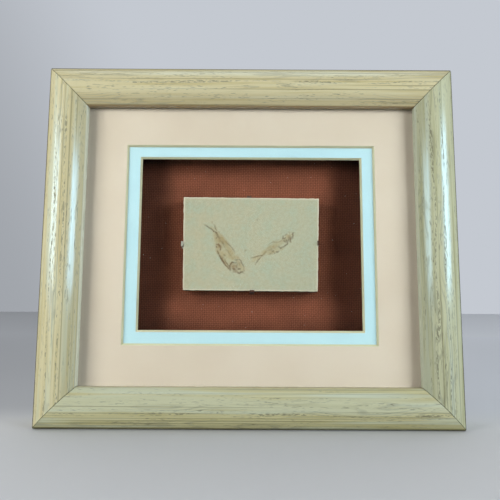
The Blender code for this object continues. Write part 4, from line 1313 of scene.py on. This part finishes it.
@dataclass
class FossilSlab:
    """The sawn limestone slab with both fish in low relief, and their bones as pigment on its face."""

    top_width: float = 103.4        # mm, as all sizes of this class
    bottom_width: float = 101.0
    height: float = 71.1
    thickness: float = 15.5
    turn: float = math.radians(0.39)
    slip: Pair = (0.5, -0.25)       # settled a little against the right and lower clips
    pitch: float = 0.32             # of the face's mesh
    edge_lines: tuple[float, ...] = (0.0, 0.1, 0.25, 0.45, 0.7)     # from the edge, where it is finer
    inner_from: float = 1.0         # and where the even mesh begins
    arris: float = 0.55             # width of the rounded edge
    arris_drop: float = 0.8         # its depth as a share of its width
    nick_pitch: float = 1.6         # over which that width changes
    edge_wear: float = 0.30         # how far the outline is worn back
    wear_pitch: float = 2.3         # over which the wear changes
    wear_reach: float = 0.6         # and how far inwards it goes
    rim_width: float = 0.95         # of the pale edge that the saw left
    saw_marks: float = 0.05
    saw_pitch: float = 1.3
    saw_rings: tuple[float, ...] = (2.0, 3.5, 5.0, 7.0, 9.0, 11.0, 13.0)    # depths of the walls' points
    wall_taper: float = 0.0012      # share by which the walls stand inside the outline
    stone_rise: float = 0.06        # of the plain stone above its lowest places
    bumps: tuple[Pair, ...] = ((0.042, 13.0), (0.018, 4.0), (0.012, 1.1), (0.010, 0.5))     # height, distance
    body_relief: float = 0.20
    body_end: float = 1.5           # length over which it rises at snout and tail
    skull_relief: float = 0.16
    skull_rise: float = 2.0         # length over which the skull rises from the body
    spine_relief: float = 0.10
    spine_width: float = 0.8
    eye_pit: float = 0.16
    eye_radius: float = 1.3
    bone_relief: float = 0.05
    fray: tuple[Pair, ...] = ((0.16, 0.9), (0.10, 0.45))    # how far strokes stray, over what distance
    soft_edge: float = 1.45         # reach of a stroke as a share of its width
    gain: float = 1.6               # how fast a stroke gains strength from its ends
    fray_seed: int = 21
    wear_seed: int = 31
    nick_seed: int = 32
    saw_seed: int = 40
    crease: float = math.radians(50)    # edges sharper than this stay sharp
    face_depth: float = 0.70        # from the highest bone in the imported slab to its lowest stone

    def __post_init__(self) -> None:
        """Read the slab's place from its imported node."""
        low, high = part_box("fossil_slab")
        self.centre = (low + high) / 2
        self.centre.x -= self.height / 2 * math.sin(self.turn) * MM    # the wide top leans to the right
        self.centre.x += self.slip[0] * MM
        self.centre.z += self.slip[1] * MM
        self.front = high.y - self.thickness * MM

    def to_world(self, x: Array, z: Array, back: Array) -> Array:
        """Place points given in mm across, up and back from the front of the slab.

        Args:
            x: to the right of the slab's centre.
            z: above it.
            back: behind the slab's frontmost plane.

        Returns:
            One row of metres for each point.
        """
        cos, sin = math.cos(self.turn), math.sin(self.turn)
        return np.stack([self.centre.x + (x * cos + z * sin) * MM, self.front + back * MM,
                         self.centre.z + (z * cos - x * sin) * MM], axis=-1)

    def body_height(self, fish: Fish, x: Array, z: Array) -> Array:
        """Work out how far a fish stands out of the stone.

        Args:
            fish: the fish.
            x: millimetres to the right of the slab's centre.
            z: and above it.

        Returns:
            Its height at each point, 0 beside it.
        """
        along, across = fish.to_body(x, z)
        back = np.interp(along, *zip(*fish.back))
        belly = np.interp(along, *zip(*fish.belly))
        edge = np.abs(across) / np.where(across > 0, back, belly)
        inside = (along > fish.back[0][0]) & (along < fish.length) & (edge < 1)
        height = self.body_relief * (1 - np.minimum(edge, 1) ** 3) ** 1.5
        height += self.spine_relief * bell(across, self.spine_width) * (along < fish.head_from)
        head = np.clip((along - fish.head_from) / self.skull_rise, 0, 1)
        height += self.skull_relief * head * (1 - np.minimum(edge, 1) ** 2)
        height -= self.eye_pit * bell(np.hypot(along - fish.eye[0], across - fish.eye[1]), self.eye_radius)
        ends = np.clip((along - fish.back[0][0]) / self.body_end, 0, 1)
        ends = ends * np.clip((fish.length - along) / self.body_end, 0, 1)
        return np.where(inside, height * ends, 0.0)

    def stroke(self, mark: Mark, x: Array, z: Array) -> Array:
        """Work out how strongly a mark covers each point.

        Args:
            mark: the brush stroke.
            x: millimetres to the right of the slab's centre.
            z: and above it.

        Returns:
            0 beside the stroke, up to 1 on it.
        """
        route = np.array(mark.route)
        lengths = np.hypot(*np.diff(route, axis=0).T)
        total = max(lengths.sum(), 1e-6)
        begun, nearest, share = 0.0, np.full(x.shape, 1e9), np.zeros(x.shape)
        for start, end, length in zip(route[:-1], route[1:], lengths):
            step = (end - start) / length
            reach = np.clip((x - start[0]) * step[0] + (z - start[1]) * step[1], 0, length)
            gap = np.hypot(x - start[0] - step[0] * reach, z - start[1] - step[1] * reach)
            closer = gap < nearest
            nearest = np.where(closer, gap, nearest)
            share = np.where(closer, (begun + reach) / total, share)
            begun += length
        middle = 1 - np.abs(2 * share - 1)
        ends = np.where(share < 0.5, mark.fade[0], mark.fade[1])
        strength = ends + (1 - ends) * np.minimum(middle * self.gain, 1)
        return strength * bell(nearest, mark.width * self.soft_edge)

    def frayed(self, place: Array, x: Array, z: Array, seed: int) -> Array:
        """Let one coordinate of the points stray, so that the strokes fray.

        Args:
            place: the coordinate.
            x: millimetres to the right of the slab's centre.
            z: and above it.
            seed: start of the random values.

        Returns:
            The strayed coordinate.
        """
        for number, (reach, pitch) in enumerate(self.fray):
            place = place + reach * value_noise(x, z, pitch, seed + number)
        return place

    def paint(self, x: Array, z: Array) -> Array:
        """Lay every mark on the points of the face.

        Args:
            x: millimetres to the right of the slab's centre.
            z: and above it.

        Returns:
            Three layers of pigment for the points: tan film, umber bone and rust.
        """
        x = self.frayed(x, x, z, self.fray_seed)
        z = self.frayed(z, x, z, self.fray_seed + len(self.fray))
        bare = np.ones((3, *x.shape))
        for mark in (*LEFT_FISH.marks, *RIGHT_FISH.marks, *STRAY_SPECKS):
            cover = self.stroke(mark, x, z)
            for layer, amount in enumerate((mark.film, mark.umber, mark.rust)):
                if amount:
                    bare[layer] *= 1 - amount * cover
        return 1 - bare

    def surface(self, x: Array, z: Array, umber: Array) -> Array:
        """Work out the relief of the face.

        Args:
            x: millimetres to the right of the slab's centre.
            z: and above it.
            umber: how much bone there is at each point.

        Returns:
            How far each point lies behind the frontmost plane.
        """
        height = self.stone_rise + self.body_height(LEFT_FISH, x, z) + self.body_height(RIGHT_FISH, x, z)
        for seed, (rise, pitch) in enumerate(self.bumps, start=1):
            height += rise * value_noise(x, z, pitch, seed)
        return self.face_depth - height - self.bone_relief * umber

    def lines(self, half: float) -> Array:
        """Place the mesh's lines across the face, crowded at its worn edges.

        Args:
            half: half the width or height of the face.

        Returns:
            The lines' places, from -half to half.
        """
        edge = np.array(self.edge_lines)
        inner = half - self.inner_from
        count = round(2 * inner / self.pitch)
        return np.concatenate([-half + edge, np.linspace(-inner, inner, count + 1), (half - edge)[::-1]])

    def walls(self, ring: Array, x: Array, z: Array, count: int) -> tuple[Array, Array, Array]:
        """Run the sawn walls back from the rim of the face.

        Args:
            ring: the numbers of the rim's points, in order.
            x: their places in mm across.
            z: and up.
            count: how many points the face has.

        Returns:
            The points of the walls, their quads, and the numbers of the rearmost ring.
        """
        points, faces, last = [], [], ring
        for number, depth in enumerate((*self.saw_rings, self.thickness)):
            level = np.full(ring.shape, depth)
            saw = self.saw_marks * value_noise(x + z, level, self.saw_pitch, self.saw_seed + number)
            spread = 1 + saw / self.height * 2 - self.wall_taper
            points.append(self.to_world(x * spread, z * spread, level))
            here = count + number * len(ring) + np.arange(len(ring))
            faces.append(np.stack([last, here, np.roll(here, -1), np.roll(last, -1)], axis=-1))
            last = here
        return np.concatenate(points), np.concatenate(faces), last

    def mesh(self, finish: Material) -> bpy.types.Mesh:
        """Make the slab's closed mesh with its pigment and rim painted on.

        Args:
            finish: the limestone.

        Returns:
            The mesh, in place.
        """
        widest = max(self.top_width, self.bottom_width) / 2
        u, z = np.meshgrid(self.lines(widest), self.lines(self.height / 2))
        taper = self.bottom_width + (self.top_width - self.bottom_width) * (z / self.height + 0.5)
        x = u / widest * taper / 2
        inside = np.minimum(widest - np.abs(u), self.height / 2 - np.abs(z))
        wear = self.edge_wear * (0.5 + 0.5 * value_noise(x + z, x - z, self.wear_pitch, self.wear_seed))
        wear = wear * np.exp(-inside / self.wear_reach)
        x, z = x * (1 - wear / widest), z * (1 - wear / (self.height / 2))
        pigment = self.paint(x, z)
        nick = self.arris * (1 + 0.5 * value_noise(x, z, self.nick_pitch, self.nick_seed))
        fall = np.clip(1 - inside / nick, 0, 1)
        back = self.surface(x, z, pigment[1]) + nick * (1 - np.sqrt(1 - fall ** 2)) * self.arris_drop
        index, faces = grid_faces(*x.shape)
        ring = np.concatenate([index[0, :], index[1:, -1], index[-1, -2::-1], index[-2:0:-1, 0]])
        sawn, walls, last = self.walls(ring, x.ravel()[ring], z.ravel()[ring], x.size)

        points = np.concatenate([self.to_world(x, z, back).reshape(-1, 3), sawn])
        colours = np.zeros((len(points), 4))
        colours[:x.size, :3] = pigment.reshape(3, -1).T
        colours[:, 3] = 1
        rim = np.ones(len(points))
        rim[:x.size] = np.exp(-(inside / self.rim_width) ** 2).ravel()
        mesh = bpy.data.meshes.new("fossil_slab_stone")
        mesh.from_pydata(points.tolist(), [], faces.tolist() + walls.tolist() + [last.tolist()])
        set_attribute(mesh, "pigment", "FLOAT_COLOR", colours)
        set_attribute(mesh, "rim", "FLOAT", rim)
        mesh.materials.append(finish)
        face_outwards(mesh)
        mesh.shade_smooth()
        mesh.set_sharp_from_angle(angle=self.crease)
        return mesh

    def build(self, stone: Material) -> None:
        """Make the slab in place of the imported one.

        Args:
            stone: the limestone.
        """
        add_piece("limestone_slab", self.mesh(stone), "limestone", ["fossil_slab"])


# ---- fittings -------------------------------------------------------------------------------------
@dataclass
class Fittings:
    """Glass, mats, spacers, clips, backing and hanger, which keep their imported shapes."""

    spacers: tuple[str, ...] = ("spacer_top", "spacer_bottom", "spacer_left", "spacer_right")
    brown_clips: tuple[str, ...] = ("clip_top", "clip_right", "clip_bottom")
    # a clip given a pale colour as a painted highlight, where the others are brown
    pale_clips: tuple[str, ...] = ("clip_left",)
    plated: tuple[str, ...] = ("hanger", "hanger_nail_left", "hanger_nail_right")

    def build(self) -> None:
        """Dress every kept node."""
        points = [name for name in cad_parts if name.startswith("point_")]
        for nodes, finish in (
                (["glazing"], PictureGlass()),
                (["top_mat"], MatBoard("peach_mat_board", "#DDCDBC", "#D9C8B6")),
                (["under_mat"], MatBoard("pale_blue_mat_board", "#C6E6EF", "#C2E3ED")),
                (self.spacers, Speckled("black_foam_board", "#26211E", "#1C1917", grain=0.6)),
                (self.brown_clips, Speckled("brown_enamel", "#6E4635", "#54362A", grain=0.8, roughness=0.5,
                                            dent=0.01)),
                # painted highlight: one clip is made pale, the others brown
                (self.pale_clips, Speckled("nylon_clip", "#C9C2B4", "#B5AD9E", grain=0.8, roughness=0.45,
                                           dent=0.01)),
                (["backing_board"], Speckled("kraft_board", "#9A7B58", "#84663F", grain=0.9)),
                (self.plated, Speckled("brass_plate", "#C2A86F", "#A08A58", grain=0.7, roughness=0.42,
                                       metallic=0.3, dent=0.01)),
                (points, Speckled("zinc_plate", "#B4B4AE", "#94948D", grain=0.7, roughness=0.45,
                                  metallic=0.3, dent=0.01))):
            dress(nodes, finish.material())
        # real glass casts next to no shadow, but a transmissive shader casts a dark one
        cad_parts["glazing"].visible_shadow = False


# ---- stage ----------------------------------------------------------------------------------------
@dataclass
class Stage:
    """Camera, pale floor, wall-coloured world, two soft lamps beside the camera and a third above."""

    eye: tuple[float, float, float] = (-0.0004, -0.3749, 0.08359)
    pitch: float = math.radians(6.597)
    yaw: float = math.radians(0.045)
    roll: float = math.radians(0.29)
    lens: float = 36.0
    wall: str = "#C4C9D1"
    wall_left: str = "#A1A5AB"
    wall_span: Pair = (-0.45, -0.02)    # directions across which the wall's painted shade gives way to light
    wall_lean: float = 0.35         # how far that change leans over with height
    room: str = "#E6E8EA"
    light_ahead: float = 0.10       # room light from the camera's side, and from behind the frame
    light_behind: float = 1.15
    light_span: Pair = (-0.15, 0.25)    # directions between them over which it changes
    light_in_glass: float = 0.01    # how bright the room is in reflections
    clip: Pair = (0.01, 60.0)       # nearest and farthest that the camera sees
    aim: tuple[float, float, float] = (0.0, 0.0, 0.13)      # the middle of the frame, where the lamps point
    lamp_distance: float = 0.9
    lamp_angle: float = math.radians(52.0)
    lamp_size: Pair = (0.36, 0.36)
    lamp_height: float = 0.30
    lamp_power: float = 3.95
    left_tint: str = "#FCFBF8"
    right_tint: str = "#F4FBFF"
    above_tint: str = "#FFFFFF"
    lamp_above: tuple[float, float, float] = (0.0, -0.25, 1.3)
    lamp_above_size: Pair = (1.0, 0.5)
    lamp_above_power: float = 2.0
    floor_half: float = 8.0
    floor_drop: float = 0.0003      # a hair under the frame, so that their faces don't coincide

    def add_camera(self) -> None:
        """Place the camera, which looks slightly up and is tilted a little to one side."""
        data = bpy.data.cameras.new("camera")
        data.lens = self.lens
        data.clip_start, data.clip_end = self.clip
        camera = bpy.data.objects.new("camera", data)
        ahead = math.cos(self.pitch)
        forward = Vector((math.sin(self.yaw) * ahead, math.cos(self.yaw) * ahead, math.sin(self.pitch)))
        level = Vector((math.cos(self.yaw), -math.sin(self.yaw), 0.0))
        above = level.cross(forward)
        right = level * math.cos(self.roll) + above * math.sin(self.roll)
        up = above * math.cos(self.roll) - level * math.sin(self.roll)
        turn = Matrix((right, up, -forward)).transposed()
        camera.matrix_world = Matrix.Translation(self.eye) @ turn.to_4x4()
        bpy.context.scene.collection.objects.link(camera)
        bpy.context.scene.camera = camera

    def add_lamp(self, name: str, place: Vector, size: Pair, power: float, tint: str) -> None:
        """Hang one soft lamp that shines at the middle of the frame.

        Args:
            name: the lamp's name.
            place: where it hangs.
            size: its width and height.
            power: in watts.
            tint: the light's colour.
        """
        data = bpy.data.lights.new(name, "AREA")
        data.shape = "RECTANGLE"
        data.size, data.size_y = size
        data.energy = power
        data.color = linear(tint)[:3]
        lamp = bpy.data.objects.new(name, data)
        lamp.location = place
        lamp.rotation_euler = (Vector(self.aim) - place).to_track_quat("-Z", "Y").to_euler()
        lamp.visible_camera = False
        bpy.context.scene.collection.objects.link(lamp)

    def add_world(self) -> None:
        """Show the wall behind the frame and let the room light matt surfaces, but stay out of the glass."""
        world = bpy.data.worlds.new("room")
        world.use_nodes = True
        tree = world.node_tree
        tree.nodes.clear()
        path = add(tree, "ShaderNodeLightPath", out="Is Camera Ray").node
        view = add(tree, "ShaderNodeTexCoord", out="Generated")
        view = add(tree, "ShaderNodeSeparateXYZ", {0: view}, out="X").node
        # painted shade: the wall seen by the camera darkens towards the left and lower down
        shade = add(tree, "ShaderNodeMath", {0: view.outputs["Z"], 1: self.wall_lean, 2: view.outputs["X"]},
                    operation="MULTIPLY_ADD")
        shade = add(tree, "ShaderNodeMapRange", {0: shade, 1: self.wall_span[0], 2: self.wall_span[1]},
                    interpolation_type="SMOOTHSTEP")
        wall = lay(tree, linear(self.wall_left), self.wall, shade)
        wall = add(tree, "ShaderNodeBackground", {"Color": wall, "Strength": 1.0})
        strength = add(tree, "ShaderNodeMapRange",
                       {0: view.outputs["Y"], 1: self.light_span[0], 2: self.light_span[1],
                        3: self.light_ahead, 4: self.light_behind})
        room = add(tree, "ShaderNodeBackground", {"Color": linear(self.room), "Strength": strength})
        dark = add(tree, "ShaderNodeBackground",
                   {"Color": linear(self.room), "Strength": self.light_in_glass})
        lit = add(tree, "ShaderNodeMixShader", {0: path.outputs["Is Diffuse Ray"], 1: dark, 2: room})
        both = add(tree, "ShaderNodeMixShader", {0: path.outputs["Is Camera Ray"], 1: lit, 2: wall})
        add(tree, "ShaderNodeOutputWorld", {"Surface": both})
        bpy.context.scene.world = world

    def add_floor(self) -> None:
        """Lay the pale floor."""
        half = self.floor_half
        mesh = bpy.data.meshes.new("floor")
        corners = [(x * half, y * half, -self.floor_drop) for x, y in ((-1, -1), (1, -1), (1, 1), (-1, 1))]
        mesh.from_pydata(corners, [], [(0, 1, 2, 3)])
        mesh.materials.append(PaleFloor().material())
        floor = bpy.data.objects.new("floor", mesh)
        floor.visible_glossy = False
        floor.visible_transmission = False
        bpy.context.scene.collection.objects.link(floor)

    def build(self) -> None:
        """Set up the stage."""
        bpy.context.scene.view_settings.view_transform = "Standard"
        self.add_camera()
        self.add_world()
        self.add_floor()
        aside = self.lamp_distance * math.sin(self.lamp_angle)
        ahead = self.lamp_distance * math.cos(self.lamp_angle)
        for name, side, tint in (("lamp_left", -1, self.left_tint), ("lamp_right", 1, self.right_tint)):
            place = Vector((side * aside, -ahead, self.lamp_height))
            self.add_lamp(name, place, self.lamp_size, self.lamp_power, tint)
        self.add_lamp("lamp_above", Vector(self.lamp_above), self.lamp_above_size, self.lamp_above_power,
                      self.above_tint)


def main() -> None:
    """Build the stage and every sub-assembly, in order."""
    logging.basicConfig(level=logging.INFO, format="%(name)s: %(message)s")
    Stage().build()
    Moulding().build({side: wood.material() for side, wood in WOODS.items()})
    LinenPanel().build(RustLinen().material(), Speckled("grey_board", "#A8A49A", "#96928A", 0.8).material())
    FossilSlab().build(Limestone().material())
    Fittings().build()
    Dust().build(Speckled("lint", "#E9E9E4", "#D8D8D2", 0.3).material())


if __name__ == "__main__":
    main()
